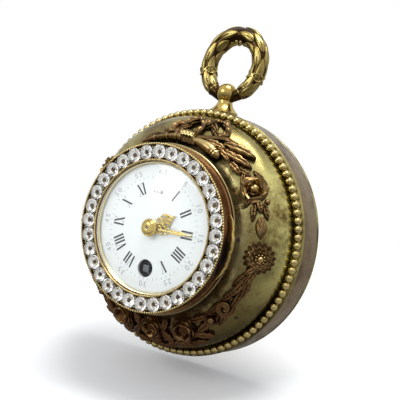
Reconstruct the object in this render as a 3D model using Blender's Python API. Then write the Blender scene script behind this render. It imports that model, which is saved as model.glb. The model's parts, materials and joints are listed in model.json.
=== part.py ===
"""A boudoir clock, modelled piece by piece as it comes apart on a bench.

A domed brass case with a beaded gallery and gilt flower mounts carries a hinged bezel set
with clear stones, a laurel ring in a ball pendant, and a small lever movement behind an
enamel dial. The dial faces -Y and +Z is up. The origin is the middle of the rear cover's
flat face, and a distance called forward is measured from that face towards the dial.
A clock angle runs clockwise from twelve o'clock, and any other angle runs the other way
from three o'clock, both as the dial is read.
"""

import math

import bmesh
import bpy
from mathutils import Matrix, Vector

MM = 0.001
FULL_TURN = 2 * math.pi
CLEARANCE = 0.3 * MM
OVERRUN = 1.0 * MM

# Case, from the rear forward
CASE_RADIUS = 40.0 * MM
CASE_WALL = 0.9 * MM
CASE_STEPS = 24
COVER_THICKNESS = 1.3 * MM
COVER_RIM_DEPTH = 1.6 * MM
COVER_CHAMFER = 0.6 * MM
COVER_SNAP_LENGTH = 1.7 * MM
BAND_LENGTH = 9.8 * MM
FLANGE_THICKNESS = 0.6 * MM
FLANGE_OVERHANG = 0.5 * MM
SPIGOT_LENGTH = 3.0 * MM
BEAD_RADIUS = 1.2 * MM
BEAD_NECK_RADIUS = 0.6 * MM
BEAD_PITCH = 2.55 * MM
BEAD_SET_IN = 0.25 * MM
BEAD_INNER_GAP = 0.55 * MM
DOME_EDGE_HEIGHT = 3.7 * MM
DOME_RISE = 10.1 * MM
NECK_RISE = 4.4 * MM
NECK_SPREAD = 2.3 * MM
COLLAR_LENGTH = 1.4 * MM
COLLAR_STEP = 0.55 * MM
LEDGE_THICKNESS = 1.0 * MM
LEDGE_DIAL_GAP = 0.7 * MM

# Bezel, glass and dial
DIAL_OPENING_RADIUS = 19.8 * MM
SIGHT_SLOPE = 0.95 * MM
SIGHT_THICKNESS = 0.5 * MM
BEZEL_RIM = 0.4 * MM
BEZEL_DEPTH = 5.4 * MM
BEZEL_FLOOR = 1.6 * MM
BEZEL_WALL = 0.7 * MM
BEZEL_LIP = 0.55 * MM
BEZEL_LIP_THICKNESS = 0.5 * MM
STONE_DIAMETER = 4.2 * MM
STONE_SPACING = 0.4 * MM
STONE_HEIGHT = 1.3 * MM
CHANNEL_DEPTH = 1.0 * MM
STONE_SETTING_GAP = 0.3 * MM
STONE_SIDES = 6
STONE_SINK = 0.3 * MM
STONE_TABLE_SHARE = 0.58
STONE_FIRST_ANGLE = math.radians(4.1)
GLASS_EDGE = 0.7 * MM
GLASS_SEAT = 0.55 * MM
GLASS_RISE = 3.5 * MM
GLASS_THICKNESS = 0.8 * MM
GLASS_OUTER_SHARES = (0.0, 0.4, 0.75, 1.0)
GLASS_INNER_SHARES = (1.0, 0.6, 0.0)
GLASS_STEPS = 24
PENDANT_STEPS = 14
SMALL_STEPS = 12
DRUM_STEPS = 16
DIAL_SET_BACK = 1.8 * MM
DIAL_DOME = 0.9 * MM
DIAL_THICKNESS = 0.9 * MM
DIAL_BEND_SHARE = 0.6
DIAL_EDGE_GAP = 0.35 * MM
WINDING_HOLE_RADIUS = 2.75 * MM
DIAL_FOOT_RADIUS = 0.6 * MM
DIAL_FOOT_INSET = 3.4 * MM
DIAL_FOOT_GRIP = 1.1 * MM
DIAL_FOOT_ROOT = 0.4 * MM
DIAL_FOOT_ANGLES = (math.radians(60), math.radians(190), math.radians(-50))

# Bezel hinge and thumb lift
KNUCKLE_RADIUS = 0.9 * MM
KNUCKLE_LENGTH = 3.0 * MM
KNUCKLE_OVERLAP = math.radians(30)
LUG_LENGTH = 2.4 * MM
HINGE_PIN_RADIUS = 0.3 * MM
HINGE_PIN_OVERHANG = 0.3 * MM
HINGE_LEAF = 0.55 * MM
LUG_LEAF_LENGTH = 2.5 * MM
KNUCKLE_LEAF_LENGTH = 3.1 * MM
LIFT_DEPTH = 1.3 * MM
LIFT_REACH = 1.2 * MM
LIFT_EDGE = 0.25 * MM
LIFT_SET_BACK = 0.6 * MM
LIFT_HALF_ANGLE = math.radians(22)
LIFT_ANGLE = math.radians(-3)
LIFT_STEPS = 8

# Pendant and laurel ring
PENDANT_FORWARD = 6.4 * MM
PENDANT_BASE_RADIUS = 5.2 * MM
PENDANT_BASE_EDGE = 0.7 * MM
PENDANT_NECK_RADIUS = 2.0 * MM
PENDANT_NECK_HEIGHT = 3.2 * MM
PENDANT_PULL_SHARES = ((0.62, 0.42), (1.0, 0.6))
BALL_RADIUS = 3.4 * MM
PENDANT_SCREW_RADIUS = 0.8 * MM
PENDANT_SCREW_HEAD = 2.1 * MM
PENDANT_SCREW_HEAD_HEIGHT = 1.0 * MM
PENDANT_SCREW_LENGTH = 3.4 * MM
RING_HALF_WIDTH = 9.4 * MM
RING_HALF_HEIGHT = 11.2 * MM
RING_TUBE_RADIUS = 2.2 * MM
RING_LEAF_RELIEF = 0.75 * MM
RING_TOP_RELIEF = 0.5 * MM
RING_STUB_RADIUS = 0.8 * MM
RING_STUB_LENGTH = 1.9 * MM
RING_COLLAR_RADIUS = 1.7 * MM
RING_SIDES = 8
RING_LEAF_ROWS = 7
RING_LEAF_SHARES = ((0.0, 1.0), (0.75, 0.1))
RING_GROOVE_SHARE = 0.3
RING_LEAN = math.radians(9)

# Movement frame
PLATE_MARGIN = 1.4 * MM
PLATE_THICKNESS = 1.5 * MM
PLATE_STEPS = 24
FRAME_SPACE = 13.0 * MM
PILLAR_RADIUS = 1.5 * MM
PILLAR_ROOT = 0.4 * MM
PILLAR_ANGLES = (math.radians(20), math.radians(-40), math.radians(176), math.radians(220))
SCREW_SIDES = 6
SCREW_HEAD_RADIUS = 1.3 * MM
SCREW_HEAD_HEIGHT = 0.8 * MM
SCREW_SHANK_RADIUS = 0.6 * MM
PILLAR_SCREW_LENGTH = 3.0 * MM
PIVOT_REACH = 1.2 * MM

# Wheels: pitch radii follow from a module, or from a centre distance and two tooth counts
ADDENDUM_SHARE = 0.6
DEDENDUM_SHARE = 1.4
BARREL_TEETH = 36
CENTRE_LEAVES = 6
CENTRE_TEETH = 48
THIRD_LEAVES = 6
THIRD_TEETH = 45
FOURTH_LEAVES = 6
FOURTH_TEETH = 48
ESCAPE_LEAVES = 6
MINUTE_TEETH = 24
CANNON_LEAVES = 8
HOUR_TEETH = 24
MINUTE_LEAVES = 6
BARREL_MODULE = 0.6 * MM
TRAIN_MODULE = 0.4 * MM
FOURTH_MODULE = 0.37 * MM
MOTION_DISTANCE = 6.0 * MM
OPEN_MESH_GAP = 0.9 * MM
WHEEL_THICKNESS = 0.8 * MM
PINION_LENGTH = 2.0 * MM
ARBOR_RADIUS = 0.45 * MM
ESCAPE_TEETH = 15
ESCAPE_RADIUS = 4.5 * MM
ESCAPE_TOOTH = 1.1 * MM
ESCAPE_LEAN_SHARE = 0.25
BARREL_RADIUS = 10.0 * MM
BARREL_HEIGHT = 8.0 * MM
WINDING_RADIUS = 1.6 * MM
WINDING_SQUARE_INSET = 0.1 * MM
WINDING_SET_BACK = 0.9 * MM
RATCHET_TEETH = 16
RATCHET_RADIUS = 5.2 * MM
RATCHET_TOOTH = 0.7 * MM
CLICK_DISTANCE = 7.6 * MM
CLICK_NOSE_GAP = 0.45 * MM
CLICK_RADIUS = 1.5 * MM
CLICK_NOSE = 0.5 * MM
CLICK_OPENING = math.radians(70)
LEVER_DISTANCE = 6.4 * MM
PALLET_SPAN = 3.5 * MM
PALLET_WIDTH = 0.9 * MM
PALLET_DROP = 1.6 * MM
LEVER_HUB = 1.35 * MM
LEVER_WIDTH = 1.0 * MM
LEVER_LENGTH = 6.4 * MM
FORK_WIDTH = 1.8 * MM
FORK_DEPTH = 0.9 * MM
BALANCE_DISTANCE = 7.95 * MM
BALANCE_RADIUS = 7.6 * MM
BALANCE_RIM = 0.9 * MM
BALANCE_ARM = 2.4 * MM
BALANCE_DROP = 1.9 * MM
COCK_THICKNESS = 1.0 * MM
COCK_HEIGHT = 4.3 * MM
COCK_REACH = 10.4 * MM
COCK_WIDTH = 3.6 * MM
THIRD_ANGLE = math.radians(60)
FOURTH_ANGLE = math.radians(168.7)
ESCAPE_ANGLE = math.radians(216.9)
ESCAPEMENT_ANGLE = math.radians(266)
COCK_ANGLE = math.radians(105)
MINUTE_ANGLE = math.radians(30)
CLICK_ANGLE = math.radians(20)
CLICK_NOSE_ANGLE = math.radians(55)

# Hands
HAND_THICKNESS = 0.3 * MM
HOUR_HAND_LENGTH_SHARE = 0.48
MINUTE_HAND_LENGTH_SHARE = 0.773
HOUR_HAND_WIDTH = 3.4 * MM
MINUTE_HAND_WIDTH = 2.2 * MM
HAND_BOSS_WALL = 0.75 * MM
HAND_STEM = 0.9 * MM
HOUR_HAND_CLOCK_ANGLE = math.radians(58.2)
MINUTE_HAND_CLOCK_ANGLE = math.radians(89.4)
HAND_LENGTH_SHARES = (0.0, 0.12, 0.34, 0.56, 0.74, 0.82, 1.0)
HAND_WIDTH_SHARES = (0.0, 0.0, 0.82, 1.0, 0.2, 0.34, 0.0)
HAND_EYE_SHARES = ((0.26, 0.0), (0.38, 0.5), (0.55, 0.62), (0.66, 0.0))
COLLET_RADIUS = 2.6 * MM
COLLET_HEIGHT = 1.3 * MM
COLLET_EDGE = 0.35 * MM
ARBOR_END_LENGTH = 0.9 * MM
PIPE_WALL = 0.35 * MM
MINUTE_STUD_RADIUS = 0.4 * MM

# Gilt mounts on the dome
MOUNT_SINK = 0.8 * MM
LEAF_LENGTH_SHARE = 0.176
LEAF_WIDTH_SHARE = 0.088
LEAF_HEIGHT_SHARE = 0.052
ROSE_RADIUS_SHARE = 0.1
ROSE_HEIGHT_SHARE = 0.072
BUD_RADIUS_SHARE = 0.065
DAISY_RADIUS_SHARE = 0.12
DAISY_HEIGHT_SHARE = 0.057
RIBBON_RADIUS_SHARE = 0.023
QUIVER_RADIUS_SHARE = 0.036
SLOPE_STEP_SHARE = 0.01

# Places that follow from the sizes above
BAND_BACK = COVER_RIM_DEPTH + CLEARANCE
BAND_FRONT = BAND_BACK + BAND_LENGTH
BAND_BORE = CASE_RADIUS - CASE_WALL
FLANGE_BACK = BAND_FRONT + CLEARANCE
BEAD_SEAT = FLANGE_BACK + FLANGE_THICKNESS
FLANGE_RADIUS = CASE_RADIUS + FLANGE_OVERHANG
BEAD_CIRCLE = FLANGE_RADIUS - BEAD_RADIUS - BEAD_SET_IN
BEAD_FORWARD = BEAD_SEAT + CLEARANCE + BEAD_RADIUS
BEAD_COUNT = int(FULL_TURN * BEAD_CIRCLE / BEAD_PITCH)
DOME_EDGE_RADIUS = BEAD_CIRCLE - BEAD_RADIUS - BEAD_INNER_GAP
DOME_EDGE_FORWARD = BEAD_SEAT + DOME_EDGE_HEIGHT
DOME_FOOT_FORWARD = DOME_EDGE_FORWARD + DOME_RISE
COLLAR_BACK = DOME_FOOT_FORWARD + NECK_RISE
COLLAR_FRONT = COLLAR_BACK + COLLAR_LENGTH
BEZEL_BACK = COLLAR_FRONT + CLEARANCE
BEZEL_FRONT = BEZEL_BACK + BEZEL_DEPTH
BEZEL_BORE = DIAL_OPENING_RADIUS + SIGHT_SLOPE
CHANNEL_INNER = BEZEL_BORE + BEZEL_RIM
CHANNEL_OUTER = CHANNEL_INNER + STONE_DIAMETER + 2 * STONE_SETTING_GAP
STONE_CIRCLE = (CHANNEL_INNER + CHANNEL_OUTER) / 2
STONE_COUNT = int(FULL_TURN * STONE_CIRCLE / (STONE_DIAMETER + STONE_SPACING))
CHANNEL_FLOOR = BEZEL_FRONT - CHANNEL_DEPTH
BEZEL_RADIUS = CHANNEL_OUTER + BEZEL_RIM
NECK_RADIUS = BEZEL_RADIUS + COLLAR_STEP
DOME_FOOT_RADIUS = NECK_RADIUS + NECK_SPREAD
DOME_WIDTH = DOME_EDGE_RADIUS - DOME_FOOT_RADIUS
LEAF_LENGTH = CASE_RADIUS * LEAF_LENGTH_SHARE
LEAF_WIDTH = CASE_RADIUS * LEAF_WIDTH_SHARE
LEAF_HEIGHT = CASE_RADIUS * LEAF_HEIGHT_SHARE
ROSE_RADIUS = CASE_RADIUS * ROSE_RADIUS_SHARE
ROSE_HEIGHT = CASE_RADIUS * ROSE_HEIGHT_SHARE
BUD_RADIUS = CASE_RADIUS * BUD_RADIUS_SHARE
DAISY_RADIUS = CASE_RADIUS * DAISY_RADIUS_SHARE
DAISY_HEIGHT = CASE_RADIUS * DAISY_HEIGHT_SHARE
RIBBON_RADIUS = CASE_RADIUS * RIBBON_RADIUS_SHARE
QUIVER_RADIUS = CASE_RADIUS * QUIVER_RADIUS_SHARE
DIAL_RADIUS = BEZEL_BORE - DIAL_EDGE_GAP
DIAL_FRONT = BEZEL_FRONT - DIAL_SET_BACK
DIAL_FOOT_CIRCLE = DIAL_RADIUS - DIAL_FOOT_INSET
LEDGE_RADIUS = DIAL_RADIUS + LEDGE_DIAL_GAP
LEDGE_BACK = COLLAR_FRONT - LEDGE_THICKNESS
GLASS_RADIUS = BEZEL_BORE - CLEARANCE
PLATE_RADIUS = NECK_RADIUS - CASE_WALL - PLATE_MARGIN
FRONT_PLATE_FRONT = LEDGE_BACK - CLEARANCE
FRONT_PLATE_BACK = FRONT_PLATE_FRONT - PLATE_THICKNESS
BACK_PLATE_FRONT = FRONT_PLATE_BACK - FRAME_SPACE
BACK_PLATE_BACK = BACK_PLATE_FRONT - PLATE_THICKNESS
FRAME_SCREW_CIRCLE = (LEDGE_RADIUS + PLATE_RADIUS) / 2
PILLAR_CIRCLE = LEDGE_RADIUS - SCREW_HEAD_RADIUS - 2 * CLEARANCE
SCREW_HOLE = SCREW_SHANK_RADIUS + CLEARANCE
ARBOR_HOLE = ARBOR_RADIUS + CLEARANCE
HINGE_X = -(NECK_RADIUS + CLEARANCE + KNUCKLE_RADIUS)
HINGE_FORWARD = (COLLAR_FRONT + BEZEL_BACK) / 2
PENDANT_BOTTOM = CASE_RADIUS + CLEARANCE
BALL_CENTRE = PENDANT_BOTTOM + PENDANT_NECK_HEIGHT + BALL_RADIUS


def polar(radius, angle):
    """Gives (x, z) at an angle counter-clockwise from three o'clock, seen from the front."""
    return (radius * math.cos(angle), radius * math.sin(angle))


def stepped(start, distance, angle):
    """Gives the point at a distance and an angle from a start point."""
    x, z = polar(distance, angle)
    return (start[0] + x, start[1] + z)


CENTRE = (0, 0)
BARREL = (0, -BARREL_MODULE * (BARREL_TEETH + CENTRE_LEAVES) / 2)
THIRD = stepped(CENTRE, TRAIN_MODULE * (CENTRE_TEETH + THIRD_LEAVES) / 2, THIRD_ANGLE)
FOURTH_DISTANCE = TRAIN_MODULE * (THIRD_TEETH + FOURTH_LEAVES) / 2 + OPEN_MESH_GAP
FOURTH = stepped(THIRD, FOURTH_DISTANCE, FOURTH_ANGLE)
ESCAPE = stepped(FOURTH, FOURTH_MODULE * (FOURTH_TEETH + ESCAPE_LEAVES) / 2, ESCAPE_ANGLE)
LEVER = stepped(ESCAPE, LEVER_DISTANCE, ESCAPEMENT_ANGLE)
BALANCE = stepped(LEVER, BALANCE_DISTANCE, ESCAPEMENT_ANGLE)
COCK_FOOT = stepped(BALANCE, COCK_REACH, COCK_ANGLE)
MINUTE = stepped(CENTRE, MOTION_DISTANCE, MINUTE_ANGLE)
CLICK = stepped(BARREL, CLICK_DISTANCE, CLICK_ANGLE)
TRAIN_BACK = BACK_PLATE_FRONT + 2 * CLEARANCE
BARREL_FRONT = TRAIN_BACK + WHEEL_THICKNESS + BARREL_HEIGHT
CENTRE_WHEEL_BACK = BARREL_FRONT + WHEEL_THICKNESS / 2
THIRD_WHEEL_BACK = CENTRE_WHEEL_BACK - WHEEL_THICKNESS - PINION_LENGTH
FOURTH_WHEEL_BACK = THIRD_WHEEL_BACK - WHEEL_THICKNESS - PINION_LENGTH
ESCAPE_WHEEL_BACK = FOURTH_WHEEL_BACK - WHEEL_THICKNESS - PINION_LENGTH / 2
CANNON_BACK = FRONT_PLATE_FRONT + CLEARANCE
MINUTE_PINION_BACK = CANNON_BACK + WHEEL_THICKNESS + 2 * CLEARANCE
HOUR_WHEEL_BACK = MINUTE_PINION_BACK + CLEARANCE
CANNON_BORE = ARBOR_RADIUS + CLEARANCE
CANNON_PIPE_RADIUS = CANNON_BORE + PIPE_WALL
HOUR_BORE = CANNON_PIPE_RADIUS + CLEARANCE
HOUR_PIPE_RADIUS = HOUR_BORE + PIPE_WALL
HOUR_HAND_BACK = DIAL_FRONT + CLEARANCE
MINUTE_HAND_BACK = HOUR_HAND_BACK + HAND_THICKNESS + CLEARANCE
COLLET_BACK = MINUTE_HAND_BACK + HAND_THICKNESS + CLEARANCE
COLLET_FRONT = COLLET_BACK + COLLET_HEIGHT
HOUR_HAND_LENGTH = DIAL_OPENING_RADIUS * HOUR_HAND_LENGTH_SHARE
MINUTE_HAND_LENGTH = DIAL_OPENING_RADIUS * MINUTE_HAND_LENGTH_SHARE
LEVER_BACK = ESCAPE_WHEEL_BACK - CLEARANCE / 2

FINISHES = {
    "aged_brass": ((0.42, 0.33, 0.12), 0.38, 1.0, 0.0),
    "red_brass": ((0.36, 0.20, 0.09), 0.42, 1.0, 0.0),
    "gilt_bronze": ((0.40, 0.25, 0.11), 0.45, 1.0, 0.0),
    "bright_gilt": ((0.72, 0.54, 0.22), 0.30, 1.0, 0.0),
    "movement_brass": ((0.70, 0.55, 0.28), 0.30, 1.0, 0.0),
    "steel": ((0.45, 0.45, 0.47), 0.30, 1.0, 0.0),
    "enamel": ((0.86, 0.88, 0.88), 0.15, 0.0, 0.0),
    "clear_glass": ((0.95, 0.97, 0.97), 0.02, 0.0, 1.0),
}


def finish_material(finish):
    """Gives the Principled material of a finish, made once."""
    if finish in bpy.data.materials:
        return bpy.data.materials[finish]
    colour, roughness, metallic, transmission = FINISHES[finish]
    material = bpy.data.materials.new(finish)
    material.use_nodes = True
    shader = material.node_tree.nodes["Principled BSDF"]
    shader.inputs["Base Color"].default_value = (*colour, 1)
    shader.inputs["Roughness"].default_value = roughness
    shader.inputs["Metallic"].default_value = metallic
    shader.inputs["Transmission Weight"].default_value = transmission
    return material


def soften(data):
    """Shades round faces smooth and keeps real edges sharp."""
    data.shade_smooth()
    data.set_sharp_from_angle(angle=math.radians(32))


def made(name, mesh, finish=None, centre=CENTRE, forward=0):
    """Turns a bmesh into a named object whose origin lies at a place of the clock."""
    bmesh.ops.recalc_face_normals(mesh, faces=mesh.faces)
    data = bpy.data.meshes.new(name)
    mesh.to_mesh(data)
    mesh.free()
    soften(data)
    piece = bpy.data.objects.new(name, data)
    piece.location = (centre[0], -forward, centre[1])
    if finish:
        data.materials.append(finish_material(finish))
    bpy.context.scene.collection.objects.link(piece)
    return piece


def boolean(piece, tool, operation, own_parts=False):
    """Joins a tool to a piece or cuts it out, keeps the result and removes the tool."""
    change = piece.modifiers.new(tool.name, "BOOLEAN")
    change.object = tool
    change.operation = operation
    change.solver = "EXACT"
    change.use_self = own_parts
    bpy.context.view_layer.update()
    evaluated = piece.evaluated_get(bpy.context.evaluated_depsgraph_get())
    result = bpy.data.meshes.new_from_object(evaluated)
    before = piece.data
    piece.modifiers.remove(change)
    piece.data = result
    bpy.data.meshes.remove(before)
    result.name = piece.name
    soften(result)
    bpy.data.objects.remove(tool)


def circle(radius, sides, centre=CENTRE, start=0.0):
    """Gives a round outline."""
    return [stepped(centre, radius, start + FULL_TURN * side / sides) for side in range(sides)]


def hole(radius, centre=CENTRE):
    """Gives a small six-sided hole whose flats clear the radius."""
    return circle(radius / math.cos(math.pi / 6), 6, centre)


def curve(start, pull_start, pull_end, end, share):
    """Gives the point at a share of the way along a smooth curve with two pulling points."""
    rest = 1 - share
    weights = (rest ** 3, 3 * rest ** 2 * share, 3 * rest * share ** 2, share ** 3)
    corners = (start, pull_start, pull_end, end)
    return tuple(sum(weight * corner[part] for weight, corner in zip(weights, corners)) for part in (0, 1))


def curve_points(corners, count):
    """Gives evenly stepped points along a smooth curve, both ends included."""
    return [curve(*corners, index / count) for index in range(count + 1)]


def offset_inward(points, distance):
    """Moves an open outline of (radius, forward) points inward, square to itself."""
    moved = []
    for index, (radius, forward) in enumerate(points):
        before = points[max(index - 1, 0)]
        after = points[min(index + 1, len(points) - 1)]
        along = Vector((after[0] - before[0], after[1] - before[1])).normalized()
        moved.append((radius - along.y * distance, forward + along.x * distance))
    return moved


def turned_mesh(outline, steps, upright=False):
    """Spins an outline of (radius, forward) points about the clock's own axis, or of
    (radius, height) points about an upright one. An outline with an end off the axis closes."""
    mesh = bmesh.new()
    axis = (0, 0, 1) if upright else (0, 1, 0)
    corners = [mesh.verts.new((radius, 0, along) if upright else (radius, -along, 0))
               for radius, along in outline]
    edges = [mesh.edges.new(pair) for pair in zip(corners, corners[1:])]
    if outline[0][0] > 0 or outline[-1][0] > 0:
        edges.append(mesh.edges.new((corners[-1], corners[0])))
    bmesh.ops.spin(mesh, geom=corners + edges, cent=(0, 0, 0), axis=axis,
                   angle=FULL_TURN, steps=steps, use_merge=True)
    bmesh.ops.remove_doubles(mesh, verts=mesh.verts, dist=CLEARANCE / 1000)
    return mesh


def turned(name, outline, finish=None, steps=CASE_STEPS, centre=CENTRE):
    """Makes a turned piece about an axis that runs forward."""
    return made(name, turned_mesh(outline, steps), finish, centre)


def flat_mesh(loops, back, front):
    """Extrudes flat outlines, drawn as seen from the front; loops after the first are holes."""
    mesh = bmesh.new()
    edges = []
    for loop in loops:
        corners = [mesh.verts.new((x, -back, z)) for x, z in loop]
        edges += [mesh.edges.new(pair) for pair in zip(corners, corners[1:] + corners[:1])]
    bmesh.ops.triangle_fill(mesh, edges=edges, use_beauty=True)
    raised = bmesh.ops.extrude_face_region(mesh, geom=mesh.faces[:])
    moved = [item for item in raised["geom"] if isinstance(item, bmesh.types.BMVert)]
    bmesh.ops.translate(mesh, verts=moved, vec=(0, back - front, 0))
    return mesh


def flat_piece(name, loops, back, front, finish=None, centre=CENTRE):
    """Makes a flat piece of even thickness, such as a plate or a wheel."""
    return made(name, flat_mesh(loops, back, front), finish, centre)


def stacked_mesh(sections):
    """Joins (forward, outline) sections of equal count and closes both ends."""
    mesh = bmesh.new()
    rows = [[mesh.verts.new((x, -forward, z)) for x, z in outline] for forward, outline in sections]
    count = len(rows[0])
    mesh.faces.new(rows[0])
    mesh.faces.new(rows[-1])
    for lower, upper in zip(rows, rows[1:]):
        for index in range(count):
            after = (index + 1) % count
            mesh.faces.new((lower[index], lower[after], upper[after], upper[index]))
    return mesh


def bar(radius, back, front, sides=8):
    """Makes a plain round bar along the forward direction."""
    outline = circle(radius, sides)
    return stacked_mesh([(back, outline), (front, outline)])


def joined(meshes):
    """Gathers several meshes in one."""
    whole = bmesh.new()
    for mesh in meshes:
        bmesh.ops.recalc_face_normals(mesh, faces=mesh.faces)
        data = bpy.data.meshes.new("part")
        mesh.to_mesh(data)
        mesh.free()
        whole.from_mesh(data)
        bpy.data.meshes.remove(data)
    return whole


def moved_mesh(mesh, place):
    """Moves a mesh across the dial's plane."""
    bmesh.ops.translate(mesh, verts=mesh.verts, vec=(place[0], 0, place[1]))
    return mesh


# Case

DOME_PULL_SHARES = ((0.0, 0.46), (0.54, 0.2))
NECK_PULL_SHARES = ((0.3, 0.16), (0.0, 0.5))
DOME_CORNERS = ((DOME_EDGE_RADIUS, DOME_EDGE_FORWARD),
                (DOME_EDGE_RADIUS, DOME_EDGE_FORWARD + DOME_PULL_SHARES[0][1] * DOME_RISE),
                (DOME_FOOT_RADIUS + DOME_PULL_SHARES[1][0] * DOME_WIDTH,
                 DOME_FOOT_FORWARD - DOME_PULL_SHARES[1][1] * DOME_RISE),
                (DOME_FOOT_RADIUS, DOME_FOOT_FORWARD))
NECK_CORNERS = ((DOME_FOOT_RADIUS, DOME_FOOT_FORWARD),
                (NECK_RADIUS + NECK_PULL_SHARES[0][0] * NECK_SPREAD,
                 DOME_FOOT_FORWARD + NECK_PULL_SHARES[0][1] * NECK_RISE),
                (NECK_RADIUS, COLLAR_BACK - NECK_PULL_SHARES[1][1] * NECK_RISE),
                (NECK_RADIUS, COLLAR_BACK))
FRAME_SCREW_PLACES = (polar(FRAME_SCREW_CIRCLE, FULL_TURN / 4), polar(FRAME_SCREW_CIRCLE, -FULL_TURN / 4))


def shell_outline():
    """Gives the outer curve of the dome and the neck, from the bead channel to the collar."""
    return curve_points(DOME_CORNERS, 4) + curve_points(NECK_CORNERS, 2)[1:]


def make_front_shell():
    """Spins the dome, neck, collar and inner ledge as one thin shell with a flange."""
    outer = shell_outline()
    inner = offset_inward(outer, CASE_WALL)
    spigot_outer = BAND_BORE - CLEARANCE
    spigot_inner = spigot_outer - CASE_WALL
    outline = [(FLANGE_RADIUS, FLANGE_BACK), (FLANGE_RADIUS, BEAD_SEAT), (DOME_EDGE_RADIUS, BEAD_SEAT)]
    outline += outer
    outline += [(NECK_RADIUS, COLLAR_FRONT), (LEDGE_RADIUS, COLLAR_FRONT), (LEDGE_RADIUS, LEDGE_BACK)]
    outline += [(NECK_RADIUS - CASE_WALL, LEDGE_BACK)] + inner[-2::-2]
    outline += [(DOME_EDGE_RADIUS - CASE_WALL, FLANGE_BACK), (spigot_inner, FLANGE_BACK)]
    outline += [(spigot_inner, FLANGE_BACK - SPIGOT_LENGTH), (spigot_outer, FLANGE_BACK - SPIGOT_LENGTH)]
    outline += [(spigot_outer, FLANGE_BACK)]
    shell = turned("front_shell", outline, "aged_brass")
    drills = [moved_mesh(bar(SCREW_HOLE, LEDGE_BACK - OVERRUN, COLLAR_FRONT + OVERRUN), place)
              for place in FRAME_SCREW_PLACES]
    boolean(shell, made("ledge_drills", joined(drills)), "DIFFERENCE")


def make_bead_gallery():
    """Rings the flange with round beads drawn out of one strip that seats along its back."""
    mesh = bmesh.new()
    floor = BEAD_SEAT + CLEARANCE
    rows = []
    for station in range(2 * BEAD_COUNT):
        radius = BEAD_NECK_RADIUS if station % 2 else BEAD_RADIUS
        around = FULL_TURN * station / (2 * BEAD_COUNT)
        section = [(0, floor), (radius, BEAD_FORWARD), (0, BEAD_FORWARD + radius), (-radius, BEAD_FORWARD)]
        row = []
        for side, forward in section:
            x, z = polar(BEAD_CIRCLE + side, around)
            row.append(mesh.verts.new((x, -forward, z)))
        rows.append(row)
    for row, following in zip(rows, rows[1:] + rows[:1]):
        for index in range(len(row)):
            after = (index + 1) % len(row)
            mesh.faces.new((row[index], row[after], following[after], following[index]))
    made("bead_gallery", mesh, "aged_brass")


def make_case_band():
    """Makes the plain band, with a hole at the top for the pendant's screw."""
    outline = [(CASE_RADIUS, BAND_BACK), (CASE_RADIUS, BAND_FRONT),
               (BAND_BORE, BAND_FRONT), (BAND_BORE, BAND_BACK)]
    band = turned("case_band", outline, "red_brass")
    radius = PENDANT_SCREW_RADIUS + CLEARANCE
    bottom = BAND_BORE - OVERRUN
    top = CASE_RADIUS + OVERRUN
    drill = turned_mesh([(0, bottom), (radius, bottom), (radius, top), (0, top)], 8, upright=True)
    boolean(band, made("band_drill", drill, forward=PENDANT_FORWARD), "DIFFERENCE")


def make_back_cover():
    """Makes the snap-on rear cover: a flat disc with a chamfered rim and an inner wall."""
    snap_outer = BAND_BORE - CLEARANCE
    snap_inner = snap_outer - CASE_WALL
    snap_front = COVER_RIM_DEPTH + COVER_SNAP_LENGTH
    outline = [(0, 0), (CASE_RADIUS - COVER_CHAMFER, 0), (CASE_RADIUS, COVER_CHAMFER),
               (CASE_RADIUS, COVER_RIM_DEPTH), (snap_outer, COVER_RIM_DEPTH), (snap_outer, snap_front),
               (snap_inner, snap_front), (snap_inner, COVER_THICKNESS), (0, COVER_THICKNESS)]
    turned("back_cover", outline, "aged_brass")


# Pendant and laurel ring


def make_pendant():
    """Turns the flared base and ball, fits the base to the band and bores both holes."""
    height = PENDANT_NECK_HEIGHT
    below = PENDANT_BOTTOM - PENDANT_BASE_RADIUS / 2
    (wide_share, low_share), (narrow_share, high_share) = PENDANT_PULL_SHARES
    base_corners = ((PENDANT_BASE_RADIUS, PENDANT_BOTTOM + PENDANT_BASE_EDGE),
                    (PENDANT_BASE_RADIUS * wide_share, PENDANT_BOTTOM + height * low_share),
                    (PENDANT_NECK_RADIUS * narrow_share, PENDANT_BOTTOM + height * high_share),
                    (PENDANT_NECK_RADIUS, PENDANT_BOTTOM + height))
    outline = [(0, below), (PENDANT_BASE_RADIUS, below)] + curve_points(base_corners, 3)
    neck_angle = math.asin(PENDANT_NECK_RADIUS / BALL_RADIUS)
    for index in range(6):
        angle = neck_angle + (math.pi - neck_angle) * index / 6
        outline.append((BALL_RADIUS * math.sin(angle), BALL_CENTRE - BALL_RADIUS * math.cos(angle)))
    outline.append((0, BALL_CENTRE + BALL_RADIUS))
    body = turned_mesh(outline, PENDANT_STEPS, upright=True)
    pendant = made("pendant", body, "bright_gilt", forward=PENDANT_FORWARD)
    seat = bar(CASE_RADIUS + CLEARANCE, -OVERRUN, 2 * PENDANT_FORWARD + OVERRUN, sides=CASE_STEPS)
    boolean(pendant, made("pendant_seat", seat), "DIFFERENCE")
    bore = RING_STUB_RADIUS + CLEARANCE
    reach = BALL_RADIUS + OVERRUN
    drill = turned_mesh([(0, -reach), (bore, -reach), (bore, reach), (0, reach)], 8, upright=True)
    cross = made("ball_drill", drill)
    cross.rotation_euler = (0, math.pi / 2, 0)
    cross.location = (0, -PENDANT_FORWARD, BALL_CENTRE)
    boolean(pendant, cross, "DIFFERENCE")
    thread = PENDANT_SCREW_RADIUS + CLEARANCE
    top = BAND_BORE + PENDANT_SCREW_LENGTH
    drill = turned_mesh([(0, BAND_BORE), (thread, BAND_BORE), (thread, top), (0, top)], 8, upright=True)
    boolean(pendant, made("pendant_drill", drill, forward=PENDANT_FORWARD), "DIFFERENCE")


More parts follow.
